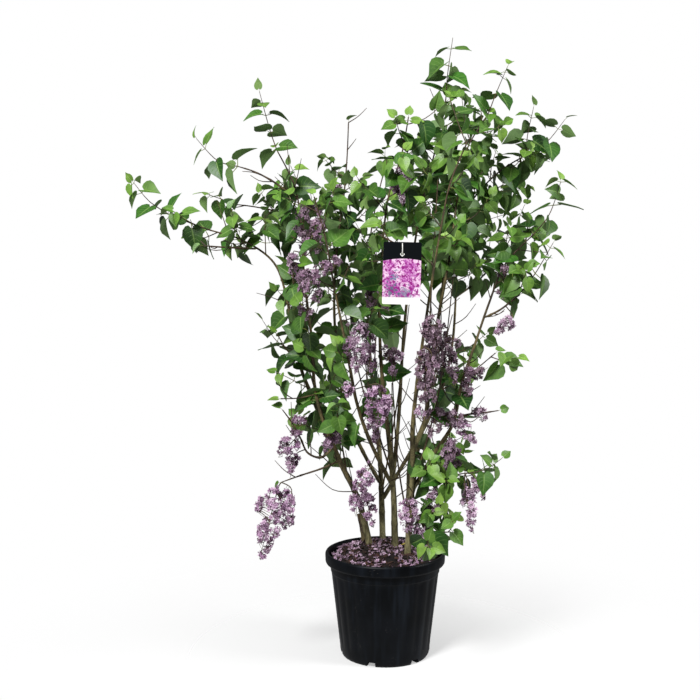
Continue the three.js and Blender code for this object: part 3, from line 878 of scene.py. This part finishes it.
# %% [markdown]
# ## The flowers
# A lilac floret is a thin tube that opens into four blunt petals, about a centimetre across. Each petal
# starts as a six-sided disc, and is pulled out to its length, cupped and given its thickness. Unopened
# buds are small drops on the end of the same tube.

# %% Floret and bud templates
FLORET_REACH = 5.6 * MM


def floret_template(cup, spread):
    flower = bmesh.new()
    tip_mark = flower.verts.layers.float.new("tip")
    tube_mark = flower.verts.layers.float.new("tube")
    for quarter in range(4):
        made = bmesh.ops.create_circle(flower, cap_ends=True, segments=6, radius=0.5)
        for vertex in made["verts"]:
            x, y = vertex.co.x + 0.5, vertex.co.y
            wide = 0.55 + 0.45 * min(1.0, x * 1.6)
            vertex[tip_mark] = x
            vertex.co = (0.08 + 0.92 * x, y * wide * spread, cup * x * x + 0.22 * y * y)
        turn = Matrix.Rotation(math.pi / 2 * quarter, 3, "Z")
        bmesh.ops.rotate(flower, verts=made["verts"], cent=(0, 0, 0), matrix=turn)
    bmesh.ops.solidify(flower, geom=flower.faces[:], thickness=0.07)
    made = bmesh.ops.create_cone(flower, cap_ends=True, segments=5, radius1=0.1, radius2=0.17, depth=1.5)
    bmesh.ops.translate(flower, verts=made["verts"], vec=(0, 0, -0.74))
    for vertex in made["verts"]:
        vertex[tube_mark] = 1.0
    bmesh.ops.scale(flower, verts=flower.verts, vec=[FLORET_REACH] * 3)
    return as_mesh(flower, "floret template")


def bud_template():
    bud = bmesh.new()
    tube_mark = bud.verts.layers.float.new("tube")
    bmesh.ops.create_icosphere(bud, subdivisions=1, radius=0.3)
    for vertex in bud.verts:
        vertex[tube_mark] = 0.75
        vertex.co.z = vertex.co.z * 1.35 + 0.2
    made = bmesh.ops.create_cone(bud, cap_ends=True, segments=4, radius1=0.09, radius2=0.16, depth=1.2)
    bmesh.ops.translate(bud, verts=made["verts"], vec=(0, 0, -0.6))
    for vertex in made["verts"]:
        vertex[tube_mark] = 1.0
    bmesh.ops.scale(bud, verts=bud.verts, vec=[FLORET_REACH] * 3)
    return as_mesh(bud, "bud template")


floret_templates = [floret_template(0.12, 0.86), floret_template(-0.25, 0.8), floret_template(0.42, 0.92)]
bud = bud_template()
print("a floret has", len(floret_templates[0].polygons), "faces and a bud", len(bud.polygons))

# %% [markdown]
# Florets on one bush range from a pale pinkish mauve, where they are fresh and lit, to a deep purple on tubes
# and buds, and florets deep inside a panicle are painted darker as shade. Faded ones on the compost turn a
# dull pinkish grey.
# Each petal is deeper near the throat.

# %% The flower finish
bloom = Finish("lilac petals", roughness=0.6)
petal_tone = bloom.mark("tone")
tip = bloom.mark("tip")
petal = bloom.mix(petal_tone, rgb(172, 124, 168), rgb(242, 214, 236))
petal = bloom.mix(tip.ease(0.45, 0.0) * 0.7, petal, rgb(122, 64, 110))
petal = bloom.mix(bloom.mark("tube") * 0.85, petal, rgb(94, 46, 78))
# this mark greys florets: fading on the compost, and painted shade on panicles high in the leaves and deep in
# the bush
petal = bloom.mix(bloom.mark("faded") * 0.8, petal, rgb(96, 72, 78))
streaks = bloom.noise(900, detail=2)
petal = bloom.mix(streaks.ease(0.6, 0.4) * 0.2, petal, rgb(108, 76, 108))
bloom.set(Base_Color=petal)
bloom.surface.inputs["Sheen Weight"].default_value = 0.25
bloom.bump(streaks, 0.1 * MM)
print("flower finish has", len(bloom.tree.nodes), "nodes")

# %% [markdown]
# A panicle hangs from its stalk as a loose lobed cone. The frame holds the plain cone, so its skin says
# where florets belong. Points are drawn on the skin at random, larger faces more often. Each floret is
# pulled a little way in, faces outwards, and stands on a thin branchlet from the panicle's middle line.


# %% Points on a skin
def skin_points(mesh, area_each):
    """Places and outward directions drawn evenly over a mesh."""
    mesh.calc_loop_triangles()
    triangles = mesh.loop_triangles
    areas = [triangle.area for triangle in triangles]
    count = round(sum(areas) / area_each)
    drawn = []
    for triangle in chance.choices(list(triangles), weights=areas, k=count):
        a, b, c = (mesh.vertices[k].co for k in triangle.vertices)
        u, v = chance.random(), chance.random()
        if u + v > 1:
            u, v = 1 - u, 1 - v
        drawn.append((a + (b - a) * u + (c - a) * v, triangle.normal.copy()))
    return drawn


def stamp_flower(heap, template, place, facing, size, **marks):
    spin = Matrix.Rotation(chance.uniform(0, math.tau), 4, "Z")
    turn = facing.to_track_quat("Z", "Y").to_matrix().to_4x4()
    heap.stamp(template, Matrix.Translation(place) @ turn @ spin @ Matrix.Scale(size, 4), **marks)


# %% Filling a panicle
FLORETS_IN_BUNCH = 16
GATHERING = 0.38  # how far florets are drawn towards the middle of their bunch
BUDDING = 0.78  # past this share of a panicle's length most flowers are still buds
FLORETS_TO_A_STALK = 4


def axis_girth(share):
    return (1.5 - 1.0 * share) * MM


def fill_panicle(flower_heap, wood_heap, mesh, foot, area_each, faded=0.0):
    """Hangs florets and buds on the skin that a mesh gives, one for each area, and stalks inside it."""
    drawn = skin_points(mesh, area_each)
    bunches = [place for place, _ in chance.sample(drawn, max(3, len(drawn) // FLORETS_IN_BUNCH))]
    middle = sum((place for place, _ in drawn), Vector()) / len(drawn)
    end = max((place for place, _ in drawn), key=lambda place: (place - foot).length)
    length = 2 * (end - middle).length
    begin = middle * 2 - end
    path = smooth_path([foot, begin.lerp(middle, 0.15), middle, end], 8 * MM)
    axis = rod(path, axis_girth, TWIG_SIDES)
    wood_heap.add(mark_age(axis, path, 0.2, 0.3))
    shade = chance.uniform(-0.15, 0.15)
    for k, (place, outward) in enumerate(drawn):
        near = min(path, key=lambda point: (point - place).length)
        share = (place - begin).length / length
        inward = chance.random() ** 2 * 0.6
        bunch = min(bunches, key=lambda point: (point - place).length)
        place = place.lerp(near, inward).lerp(bunch, GATHERING)
        facing = (outward + wander(0.7) - UP * 0.2).normalized()
        # painted shade: florets pulled further into the panicle get a darker tone; the rest of the tone
        # varies at random
        tone = min(1.0, max(0.0, 0.66 + shade - 0.8 * inward + chance.uniform(-0.4, 0.4)))
        if share > BUDDING and chance.random() < 0.6 or chance.random() < 0.1:
            stamp_flower(flower_heap, bud, place, facing, chance.uniform(0.7, 1.0), tone=tone, faded=faded)
        else:
            template = chance.choice(floret_templates)
            stamp_flower(flower_heap, template, place, facing, chance.uniform(0.8, 1.12), tone=tone,
                         faded=faded * chance.uniform(0.6, 1.2))
        if k % FLORETS_TO_A_STALK == 0:
            twiglet = [near, near.lerp(place, 0.5) + wander(2 * MM), place]
            wood_heap.add(rod(twiglet, lambda share: 0.5 * MM, 4), age=0.25)


# %% The panicles
all_wood = [place for path, _ in [*wood.values(), *thin_stems] for place in path]
HIGH_FLOWERS = 900 * MM  # panicles above this are in the shade of leaves, and greyer
SHADED_AREA, LIT_AREA, SMALL_AREA = 150, 82, 100  # the skin that each floret has, in square mm

for name in panicle_names:
    flowers, stalks = Heap(), Heap()
    skin = nodes[name].data
    foot = min((vertex.co for vertex in skin.vertices),
               key=lambda corner: min((corner - place).length for place in all_wood)).copy()
    shaded = foot.z > HIGH_FLOWERS
    # the second number greys high panicles as painted shade; lower panicles fade by a random amount
    area_each, fading = (SHADED_AREA, 0.7) if shaded else (LIT_AREA, chance.choice((0.0, 0.15, 0.4)))
    fill_panicle(flowers, stalks, skin, foot, area_each * MM * MM, fading)
    finish_piece(f"{name}_florets", flowers.shape, bloom, [name])
    finish_piece(f"{name}_stalks", stalks.shape, bark)

# %% [markdown]
# Between the large panicles hang many small ones. `FLOWERY` lists the places, as seen from the front, in
# which they gather. Each is a lobed cone of its own, hung a little off the nearest cane, branch or stem.
# Those deep inside the bush are coloured a brownish mauve, partly as fading flowers and partly as painted
# shade. Their skins are rolled from a grid, because a ball's faces don't come in the same order each time
# that the script is run, and then the places drawn on them would differ too.


# %% Small panicles
def cone_skin(begin, end, width):
    """A lobed cone's skin, broad near its beginning and narrow at its end, rolled up from a flat grid."""
    cone = bmesh.new()
    bmesh.ops.create_grid(cone, x_segments=10, y_segments=7, size=1)
    axis = end - begin
    turn = axis.to_track_quat("Z", "Y").to_matrix()
    phase = chance.uniform(0, math.tau)
    for vertex in cone.verts:
        round_axis = math.pi * vertex.co.x
        share = (1 + math.sin(math.pi / 2 * vertex.co.y)) / 2
        lobe = 1 + 0.2 * math.cos(3 * round_axis + 5 * share + phase)
        reach = width / 2 * (1.15 - 0.6 * share) * lobe * math.cos(math.pi / 2 * vertex.co.y)
        outward = Vector((math.cos(round_axis) * reach, math.sin(round_axis) * reach, share * axis.length))
        vertex.co = begin + turn @ outward
    return as_mesh(cone, "cone skin")


# middle across, middle height and reach in the plan's mm, how many small panicles, and how much grey of
# fading and painted shade they get
FLOWERY = [
    (-225, 1065, 70, 3, 0.70), (-175, 940, 70, 3, 0.60), (-30, 830, 60, 4, 0.40), (-75, 745, 40, 2, 0.20),
    (-15, 650, 60, 2, 0.30), (80, 810, 80, 6, 1.0), (120, 700, 110, 13, 1.0), (40, 750, 60, 4, 1.0),
    (-150, 560, 50, 1, 0.3), (-55, 410, 40, 1, 0.2), (35, 370, 45, 1, 0.2), (205, 570, 50, 2, 0.7),
    (0, 1190, 40, 3, 0.4), (-85, 1200, 25, 1, 0.3), (95, 1130, 40, 1, 1.0), (30, 900, 50, 3, 1.0),
    (250, 960, 50, 3, 1.0), (260, 480, 40, 2, 0.5), (120, 600, 60, 4, 0.8),
]
SMALL_WIDTH, SMALL_STALK, SMALL_DROP = (32, 54), (14, 30), (38, 80)  # the least and most of each, in mm


def nearest_wood(across, height):
    """The place on the wood that is nearest as seen from the front, with some liking for what is in front."""
    return min(all_wood, key=lambda place: math.hypot(place.x - across, place.z - height) + 0.12 * place.y)


for k, (across, height, reach, count, faded) in enumerate(FLOWERY):
    flowers, stalks = Heap(), Heap()
    for _ in range(count):
        angle, far = chance.uniform(0, math.tau), reach * math.sqrt(chance.random())
        foot = nearest_wood(*from_plan(across + far * math.cos(angle), height + far * math.sin(angle)))
        outward = Vector((foot.x, foot.y - 0.15, 0)).normalized()
        away = (outward + wander(0.8)).normalized() * chance.uniform(*SMALL_STALK) * MM
        begin = foot + away
        end = begin + away * 0.7 - UP * chance.uniform(*SMALL_DROP) * MM
        if hides_label(begin) or hides_label(end) or not inside_bush(end):
            continue
        skin = cone_skin(begin, end, chance.uniform(*SMALL_WIDTH) * MM)
        fill_panicle(flowers, stalks, skin, foot, SMALL_AREA * MM * MM, faded)
        bpy.data.meshes.remove(skin)
    if flowers.count:
        finish_piece(f"small_panicles_{k + 1:02d}_florets", flowers.shape, bloom)
        finish_piece(f"small_panicles_{k + 1:02d}_stalks", stalks.shape, bark)

# %% [markdown]
# ## The pot
# The pot is one moulding: feet and a drainage channel below, a fluted wall, a plain collar, and a rim that
# is rolled over for stiffness. All but the flutes, the gaps between the feet and the drain holes is the
# same all the way round, so half of its section is spun about its axis. The corners are then rounded, the
# flutes are pressed in, and the gaps and holes are cut.


# %% Spinning and cutting
def spun(profile, steps):
    """A profile of (radius, height) points in mm, spun about the axis."""
    shape = bmesh.new()
    corners = [shape.verts.new((radius * MM, 0, height * MM)) for radius, height in profile]
    for a, b in zip(corners, corners[1:]):
        shape.edges.new((a, b))
    bmesh.ops.spin(shape, geom=shape.verts[:] + shape.edges[:], cent=(0, 0, 0), axis=(0, 0, 1),
                   angle=math.tau, steps=steps, use_merge=True)
    bmesh.ops.remove_doubles(shape, verts=shape.verts, dist=1e-6)
    bmesh.ops.recalc_face_normals(shape, faces=shape.faces)
    return shape


def cut_away(shape, cutters):
    """Takes closed cutters away from a shape with Blender's Boolean modifier."""
    objects = []
    for name, part in (("body", shape), ("cutters", cutters)):
        objects.append(add_object(name, as_mesh(part, name)))
    body, cutter = objects
    cut = body.modifiers.new("cut", "BOOLEAN")
    cut.object = cutter
    cut.operation = "DIFFERENCE"
    cut.solver = "EXACT"
    graph = bpy.context.evaluated_depsgraph_get()
    result = bmesh.new()
    result.from_mesh(body.evaluated_get(graph).to_mesh())
    for used in objects:
        mesh = used.data
        bpy.data.objects.remove(used)
        bpy.data.meshes.remove(mesh)
    return result


# %% The pot's shape
pot_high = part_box("pot")[1]
POT_HEIGHT = pot_high.z / MM
RIM = pot_high.x / MM
SHOULDER = RIM - 13
BASE = 113.0
WALL = 2.5
SHOULDER_HEIGHT = POT_HEIGHT - 28
COLLAR_HEIGHT = SHOULDER_HEIGHT - 20
CORNER = 22.0
FLUTES = 24
FLUTE_DEPTH = 1.6
FEET = 6
FOOT_TURN = -20  # degrees
FOOT_GAP = Vector((22, 40, 12)) * MM
FOOT_RING, DRAIN_RING, DRAIN_RADIUS = 103, 63.5, 6


def wall_radius(height):
    share = (height - CORNER) / (SHOULDER_HEIGHT - CORNER)
    return BASE + (SHOULDER - BASE) * share


outer_wall = [(wall_radius(h), h) for h in (CORNER, 30, 40, 60, 90, 120, 150, 180, COLLAR_HEIGHT - 14,
                                             COLLAR_HEIGHT - 7, COLLAR_HEIGHT - 1)]
profile = [
    (0, 0), (36, 0), (41, 12), (86, 12), (91, 0), (107, 0), (110.6, 6), (112.4, 13), *outer_wall,
    (wall_radius(COLLAR_HEIGHT) + 1.4, COLLAR_HEIGHT + 1), (SHOULDER, SHOULDER_HEIGHT),
    (RIM - 3, SHOULDER_HEIGHT + 1), (RIM - 0.6, SHOULDER_HEIGHT + 5), (RIM, POT_HEIGHT - 12),
    (RIM, POT_HEIGHT - 4), (RIM - 2.2, POT_HEIGHT), (RIM - 7, POT_HEIGHT), (RIM - 9, POT_HEIGHT - 4),
    (SHOULDER - WALL, SHOULDER_HEIGHT), (wall_radius(120) - WALL, 120), (wall_radius(27) - WALL, 27),
    (wall_radius(15) - WALL - 8, 14.5), (0, 14.5),
]
pot = spun(profile, 8 * FLUTES)
rings = [edge for edge in pot.edges
         if abs(edge.verts[0].co.z - edge.verts[1].co.z) < 1e-7 and len(edge.link_faces) == 2
         and edge.calc_face_angle(0) > math.radians(14)]
bmesh.ops.bevel(pot, geom=rings, offset=0.9 * MM, segments=3, profile=0.5, affect="EDGES", material=-1,
                clamp_overlap=True)
for vertex in pot.verts:
    x, y, z = vertex.co / MM
    radius = math.hypot(x, y)
    if CORNER < z < COLLAR_HEIGHT and radius > wall_radius(z) - WALL / 2:
        ends = min(1.0, (z - CORNER) / 16, (COLLAR_HEIGHT - z) / 8)
        groove = (0.5 - 0.5 * math.cos(FLUTES * math.atan2(x, y))) ** 2
        vertex.co.xy *= 1 - FLUTE_DEPTH * ends * groove / radius
cutters = bmesh.new()
for k in range(FEET):
    turn = math.radians(FOOT_TURN + 360 / FEET * k)
    made = bmesh.ops.create_cube(cutters, size=1)["verts"]
    bmesh.ops.scale(cutters, verts=made, vec=FOOT_GAP)
    bmesh.ops.translate(cutters, verts=made, vec=(0, -FOOT_RING * MM, 5.5 * MM))
    hole = bmesh.ops.create_cone(cutters, cap_ends=True, segments=24, radius1=DRAIN_RADIUS * MM,
                                 radius2=DRAIN_RADIUS * MM, depth=30 * MM)["verts"]
    bmesh.ops.translate(cutters, verts=hole, vec=(0, -DRAIN_RING * MM, 12 * MM))
    bmesh.ops.rotate(cutters, verts=[*made, *hole], cent=(0, 0, 0), matrix=Matrix.Rotation(turn, 3, "Z"))
pot = cut_away(pot, cutters)
print("the pot is", round(POT_HEIGHT), "mm tall and", round(2 * RIM), "mm across its rim")

# %% [markdown]
# Black moulded plastic is never quite black. It has a faint cast of blue, a soft sheen with a fine moulded
# grain, paler vertical streaks painted on as sheen, dull rubbed patches, thin pale scuffs and a little dry
# dust and potting dirt below the rim.

# %% The pot's finish
plastic = Finish("black moulded plastic", roughness=0.4)
grain = plastic.noise(1400, detail=2)
rubbed = plastic.noise(14, detail=5)
scuffs = plastic.noise(60, detail=6, stretch=(1, 1, 9)).ease(0.68, 0.78)
specks = plastic.node("ShaderNodeTexVoronoi", {}, {"Vector": plastic.place(), "Scale": 210})
dust_here = plastic.noise(16, detail=4).ease(0.55, 0.75)
dirt = specks.ease(0.16, 0.08) * dust_here
dark = plastic.mix(rubbed.ease(0.35, 0.7), rgb(4, 6, 9), rgb(12, 15, 20))
# painted sheen: paler vertical streaks down the wall
painted_sheen_streaks = plastic.noise(45, detail=3, stretch=(1, 1, 0.07))
dark = plastic.mix(painted_sheen_streaks.ease(0.48, 0.72) * 0.8, dark, rgb(22, 27, 34))
dark = plastic.mix(scuffs * 0.15, dark, rgb(80, 84, 88))
dark = plastic.mix(dirt * 0.7, dark, rgb(150, 144, 136))
plastic.set(Base_Color=dark, Roughness=0.34 + 0.22 * rubbed + 0.3 * dirt)
plastic.surface.inputs["Specular IOR Level"].default_value = 0.12
plastic.bump(grain * 0.5 + dirt, 0.12 * MM)
finish_piece("nursery_pot", pot, plastic, ["pot"], smooth_below=35)

# %% [markdown]
# ## The compost
# The compost is a mound of composted bark. Its body is spun like the pot and its top is made lumpy with
# noise. Loose chips lie all over it, and then hundreds of fallen florets.

# %% The compost's body
compost_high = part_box("compost")[1]
COMPOST_RADIUS = compost_high.x / MM
COMPOST_EDGE = POT_HEIGHT - 12
MOUND = compost_high.z / MM - COMPOST_EDGE
LUMPS = 3.2


def mound_height(x, y):
    """Height of the compost's top at a place, all in mm."""
    share = min(1.0, math.hypot(x, y) / COMPOST_RADIUS)
    spot = Vector((x, y, 0)) * 0.07
    lumps = LUMPS * noise.fractal(spot, 0.7, 2.1, 4) * (1 - share ** 8)
    return COMPOST_EDGE + (MOUND - 3) * (1 - share ** 3) + lumps


TOP_RINGS = 34
top = [(COMPOST_RADIUS * (k / TOP_RINGS), COMPOST_EDGE) for k in range(TOP_RINGS, -1, -1)]
low_part = [(0, 15.5), (wall_radius(30) - WALL - 12, 15.5), (wall_radius(34) - WALL - 2, 34),
            (COMPOST_RADIUS, COMPOST_EDGE - 20)]
heap_body = spun([*low_part, *top], 120)
for vertex in heap_body.verts:
    x, y, z = vertex.co / MM
    if z > COMPOST_EDGE - 1:
        vertex.co.z = mound_height(x, y) * MM

soil = Finish("bark compost", roughness=0.95)
crumbs = soil.noise(260, detail=6)
patches = soil.noise(46, detail=3)
soil_colour = soil.mix(patches.ease(0.35, 0.65), rgb(10, 5, 5), rgb(28, 14, 12))
soil_colour = soil.mix(crumbs.ease(0.55, 0.7) * 0.5, soil_colour, rgb(66, 40, 32))
soil.set(Base_Color=soil_colour)
soil.bump(crumbs + patches, 1.6 * MM)
finish_piece("compost_mound", heap_body, soil, ["compost"], smooth_below=60)


# %% Bark chips
CHIP_COUNT = 420
LITTER_LIFT = 1.2  # how high over the compost chips lie, in mm


def chip_template(long, wide, thick):
    chip = bmesh.new()
    bmesh.ops.create_icosphere(chip, subdivisions=1, radius=0.5)
    for vertex in chip.verts:
        vertex.co += wander(0.13)
        vertex.co.x *= long * MM
        vertex.co.y *= wide * MM
        vertex.co.z *= thick * MM
    return as_mesh(chip, "chip template")


def compost_spot(reach=0.97):
    """A random place on the compost, in mm, and the direction straight out of it there."""
    radius = COMPOST_RADIUS * reach * math.sqrt(chance.random())
    angle = chance.uniform(0, math.tau)
    x, y = radius * math.cos(angle), radius * math.sin(angle)
    slope = Vector((mound_height(x - 3, y) - mound_height(x + 3, y),
                    mound_height(x, y - 3) - mound_height(x, y + 3), 6)).normalized()
    return Vector((x, y, mound_height(x, y))), slope


chips = [chip_template(17, 8, 4), chip_template(11, 7, 4), chip_template(23, 6, 3), chip_template(8, 6, 4)]
litter = Heap()
for _ in range(CHIP_COUNT):
    spot, slope = compost_spot()
    turn = (slope + wander(0.5)).to_track_quat("Z", "Y").to_matrix().to_4x4()
    spin = Matrix.Rotation(chance.uniform(0, math.tau), 4, "Z")
    litter.stamp(chance.choice(chips), Matrix.Translation((spot + UP * LITTER_LIFT) * MM) @ turn @ spin,
                 tone=chance.random())

chip_finish = Finish("bark chips", roughness=0.9)
chip_grain = chip_finish.noise(500, detail=4, stretch=(1, 0.3, 1))
chip_colour = chip_finish.mix(chip_finish.mark("tone") ** 2, rgb(14, 7, 7), rgb(72, 44, 34))
chip_colour = chip_finish.mix(chip_grain.ease(0.5, 0.7) * 0.5, chip_colour, rgb(120, 84, 64))
chip_finish.set(Base_Color=chip_colour)
chip_finish.bump(chip_grain, 0.8 * MM)
finish_piece("bark_chips", litter.shape, chip_finish, smooth_below=30)

# %% Fallen florets
FALLEN_COUNT = 480
FACE_DOWN = 0.35  # the share of them that lie on their face
fallen = Heap()
while fallen.count < FALLEN_COUNT:
    spot, slope = compost_spot(1.0)
    if noise.noise(spot * 0.03) + chance.uniform(-0.5, 0.5) < 0:
        continue
    facing = (slope + wander(0.9)).normalized()
    if chance.random() < FACE_DOWN:
        facing = -facing
    stamp_flower(fallen, chance.choice(floret_templates), (spot + UP * chance.uniform(2.5, 5)) * MM, facing,
                 chance.uniform(0.55, 0.9), tone=chance.uniform(0.2, 1.0),
                 faded=chance.choice((0.1, 0.3, 0.6, 0.9)))
finish_piece("fallen_florets", fallen.shape, bloom)

# %% A withered leaf
WITHERED_PLACE = (53, -8)  # in mm from the pot's axis
WITHERED_SIZE = 24 * MM
withered = Heap()
place = Vector((*WITHERED_PLACE, mound_height(*WITHERED_PLACE) + 4)) * MM
lying = face_along(place, Vector((-0.8, 0.4, 0.1)), UP, WITHERED_SIZE)
withered.stamp(leaf_templates[0], lying, withered=1.0)
finish_piece("withered_leaf", withered.shape, leaf)

# %% [markdown]
# ## The label
# The label is a thin printed card. Its print is drawn by nodes on the card's own map: a dark head with a
# gently arched lower edge, a mass of pink blossom with a few bluish spots, and a white foot. No lettering.

# %% The card
card_middle = (card_low + card_high) / 2
CARD_WIDTH, CARD_HEIGHT = 84 * MM, 137 * MM
CARD_TILT = math.radians(1.4)
CARD_THICKNESS, CARD_CORNER = 0.8 * MM, 3 * MM
HOLE_DROP, HOLE_RADIUS = 26 * MM, 3.2 * MM
card = bmesh.new()
bmesh.ops.create_grid(card, x_segments=12, y_segments=20, size=0.5, calc_uvs=False)
print_map = card.loops.layers.uv.new("print")
front = card.verts.layers.float.new("front")
for face in card.faces:
    for loop in face.loops:
        loop[print_map].uv = (loop.vert.co.x + 0.5, loop.vert.co.y + 0.5)
for vertex in card.verts:
    vertex[front] = 1.0
    vertex.co = (vertex.co.x * CARD_WIDTH, 0, vertex.co.y * CARD_HEIGHT)
bmesh.ops.recalc_face_normals(card, faces=card.faces)
if sum(face.normal.y for face in card.faces) > 0:
    bmesh.ops.reverse_faces(card, faces=card.faces)
shell = bmesh.ops.solidify(card, geom=card.faces[:], thickness=CARD_THICKNESS)
for item in shell["geom"]:
    if isinstance(item, bmesh.types.BMVert):
        item[front] = 0.0
upright = [edge for edge in card.edges
           if all(abs(abs(v.co.x) - CARD_WIDTH / 2) < 1e-5 and abs(abs(v.co.z) - CARD_HEIGHT / 2) < 1e-5
                  for v in edge.verts)]
bmesh.ops.bevel(card, geom=upright, offset=CARD_CORNER, segments=4, profile=0.5, affect="EDGES", material=-1)
punch = bmesh.new()
made = bmesh.ops.create_cone(punch, cap_ends=True, segments=24, radius1=HOLE_RADIUS, radius2=HOLE_RADIUS,
                             depth=10 * MM)["verts"]
bmesh.ops.rotate(punch, verts=made, cent=(0, 0, 0), matrix=Matrix.Rotation(math.pi / 2, 3, "X"))
bmesh.ops.translate(punch, verts=made, vec=(0, 0, CARD_HEIGHT / 2 - HOLE_DROP))
card = cut_away(card, punch)
bmesh.ops.rotate(card, verts=card.verts, cent=(0, 0, 0), matrix=Matrix.Rotation(CARD_TILT, 3, "Y"))
bmesh.ops.translate(card, verts=card.verts, vec=card_middle)

printing = Finish("printed card", roughness=0.32)
print_uv = printing.node("ShaderNodeUVMap", {"uv_map": "print"})
split = printing.node("ShaderNodeSeparateXYZ", {}, {0: print_uv})
up_card = Reading(printing, split.socket.node.outputs["Y"])
arch = up_card - 0.70 - 0.035 * (1 - (abs(split - 0.56) * 2) ** 2)
print_place = printing.node("ShaderNodeMapping", {}, {"Vector": print_uv, "Scale": (0.6, 1.0, 1.0)})
petals = printing.node("ShaderNodeTexVoronoi", {}, {"Vector": print_place, "Scale": 44})
clusters = printing.node("ShaderNodeTexNoise", {}, {"Vector": print_place, "Scale": 21.0, "Detail": 4.0})
bright = printing.node("ShaderNodeTexNoise", {}, {"Vector": print_place, "Scale": 6.0, "Detail": 4.0})
blossom = printing.mix(petals.ease(0.15, 0.6), rgb(228, 166, 216), rgb(176, 84, 168))
blossom = printing.mix(bright.ease(0.44, 0.58) * 0.8, blossom, rgb(248, 218, 240))
blossom = printing.mix(clusters.ease(0.5, 0.58), blossom, rgb(146, 40, 128))


def print_spot(across, up, reach):
    """A ragged round spot on the card's map."""
    far = ((split - across) ** 2 * 0.36 + (up_card - up) ** 2) ** 0.5
    return (far + (clusters - 0.5) * 0.6 + (petals - 0.4) * 0.1).ease(reach, reach * 0.6)


# across and up the card, reach, strength and colour
SPOTS = [
    (0.3, 0.44, 0.06, 0.8, rgb(64, 108, 136)), (0.25, 0.22, 0.1, 0.8, rgb(60, 92, 104)),
    (0.6, 0.18, 0.1, 0.7, rgb(84, 104, 128)), (0.95, 0.2, 0.07, 0.8, rgb(240, 226, 240)),
]
for across, up, reach, strength, colour in SPOTS:
    blossom = printing.mix(print_spot(across, up, reach) * strength, blossom, colour)
printed = printing.mix(up_card.ease(0.125, 0.1), blossom, rgb(244, 244, 240))
printed = printing.mix(arch.ease(-0.004, 0.004), printed, rgb(5, 10, 14))
printed = printing.mix(1 - printing.mark("front").ease(0.4, 0.6), printed, rgb(238, 238, 234))
printing.set(Base_Color=printed)
printing.surface.inputs["Specular IOR Level"].default_value = 0.2
finish_piece("printed_label", card, printing, ["label_card"])

# %% [markdown]
# The tie is a small moulded strap. It goes through the card's hole and over the branch, and closes in a
# little lock. A flattened section is spun once round and stretched to the loop that the frame's tie makes.

# %% The tie
tie_low, tie_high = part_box("label_tie")
tie_middle = (tie_low + tie_high) / 2
half = (tie_high - tie_low) / 2
LOCK_WIDTH = 2.2  # in half-widths of the strap
LOCK_DEPTH, LOCK_HEIGHT = 3.4 * MM, 3.0 * MM
strap = bmesh.new()
section = bmesh.ops.create_circle(strap, cap_ends=False, segments=8, radius=1)["verts"]
for vertex in section:
    vertex.co = (vertex.co.x * half.x, half.z - half.x + vertex.co.y * 0.6 * half.x, 0)
bmesh.ops.spin(strap, geom=strap.verts[:] + strap.edges[:], cent=(0, 0, 0), axis=(1, 0, 0),
               angle=math.tau, steps=48, use_merge=True)
bmesh.ops.remove_doubles(strap, verts=strap.verts, dist=1e-6)
for vertex in strap.verts:
    vertex.co.y *= half.y / half.z
lock = bmesh.ops.create_cube(strap, size=1)["verts"]
bmesh.ops.scale(strap, verts=lock, vec=(LOCK_WIDTH * half.x, LOCK_DEPTH, LOCK_HEIGHT))
bmesh.ops.translate(strap, verts=lock, vec=(0, -half.y * 0.55, half.z * 0.72))
lock_edges = [edge for edge in strap.edges if all(v in lock for v in edge.verts)]
bmesh.ops.bevel(strap, geom=lock_edges, offset=0.5 * MM, segments=2, profile=0.5, affect="EDGES", material=-1)
bmesh.ops.translate(strap, verts=strap.verts, vec=tie_middle)
bmesh.ops.recalc_face_normals(strap, faces=strap.faces)
nylon = Finish("white nylon", roughness=0.35)
nylon.set(Base_Color=nylon.mix(nylon.noise(300).ease(0.4, 0.6), rgb(226, 226, 218), rgb(244, 244, 240)))
nylon.bump(nylon.noise(900), 0.05 * MM)
finish_piece("label_strap", strap, nylon, ["label_tie"])
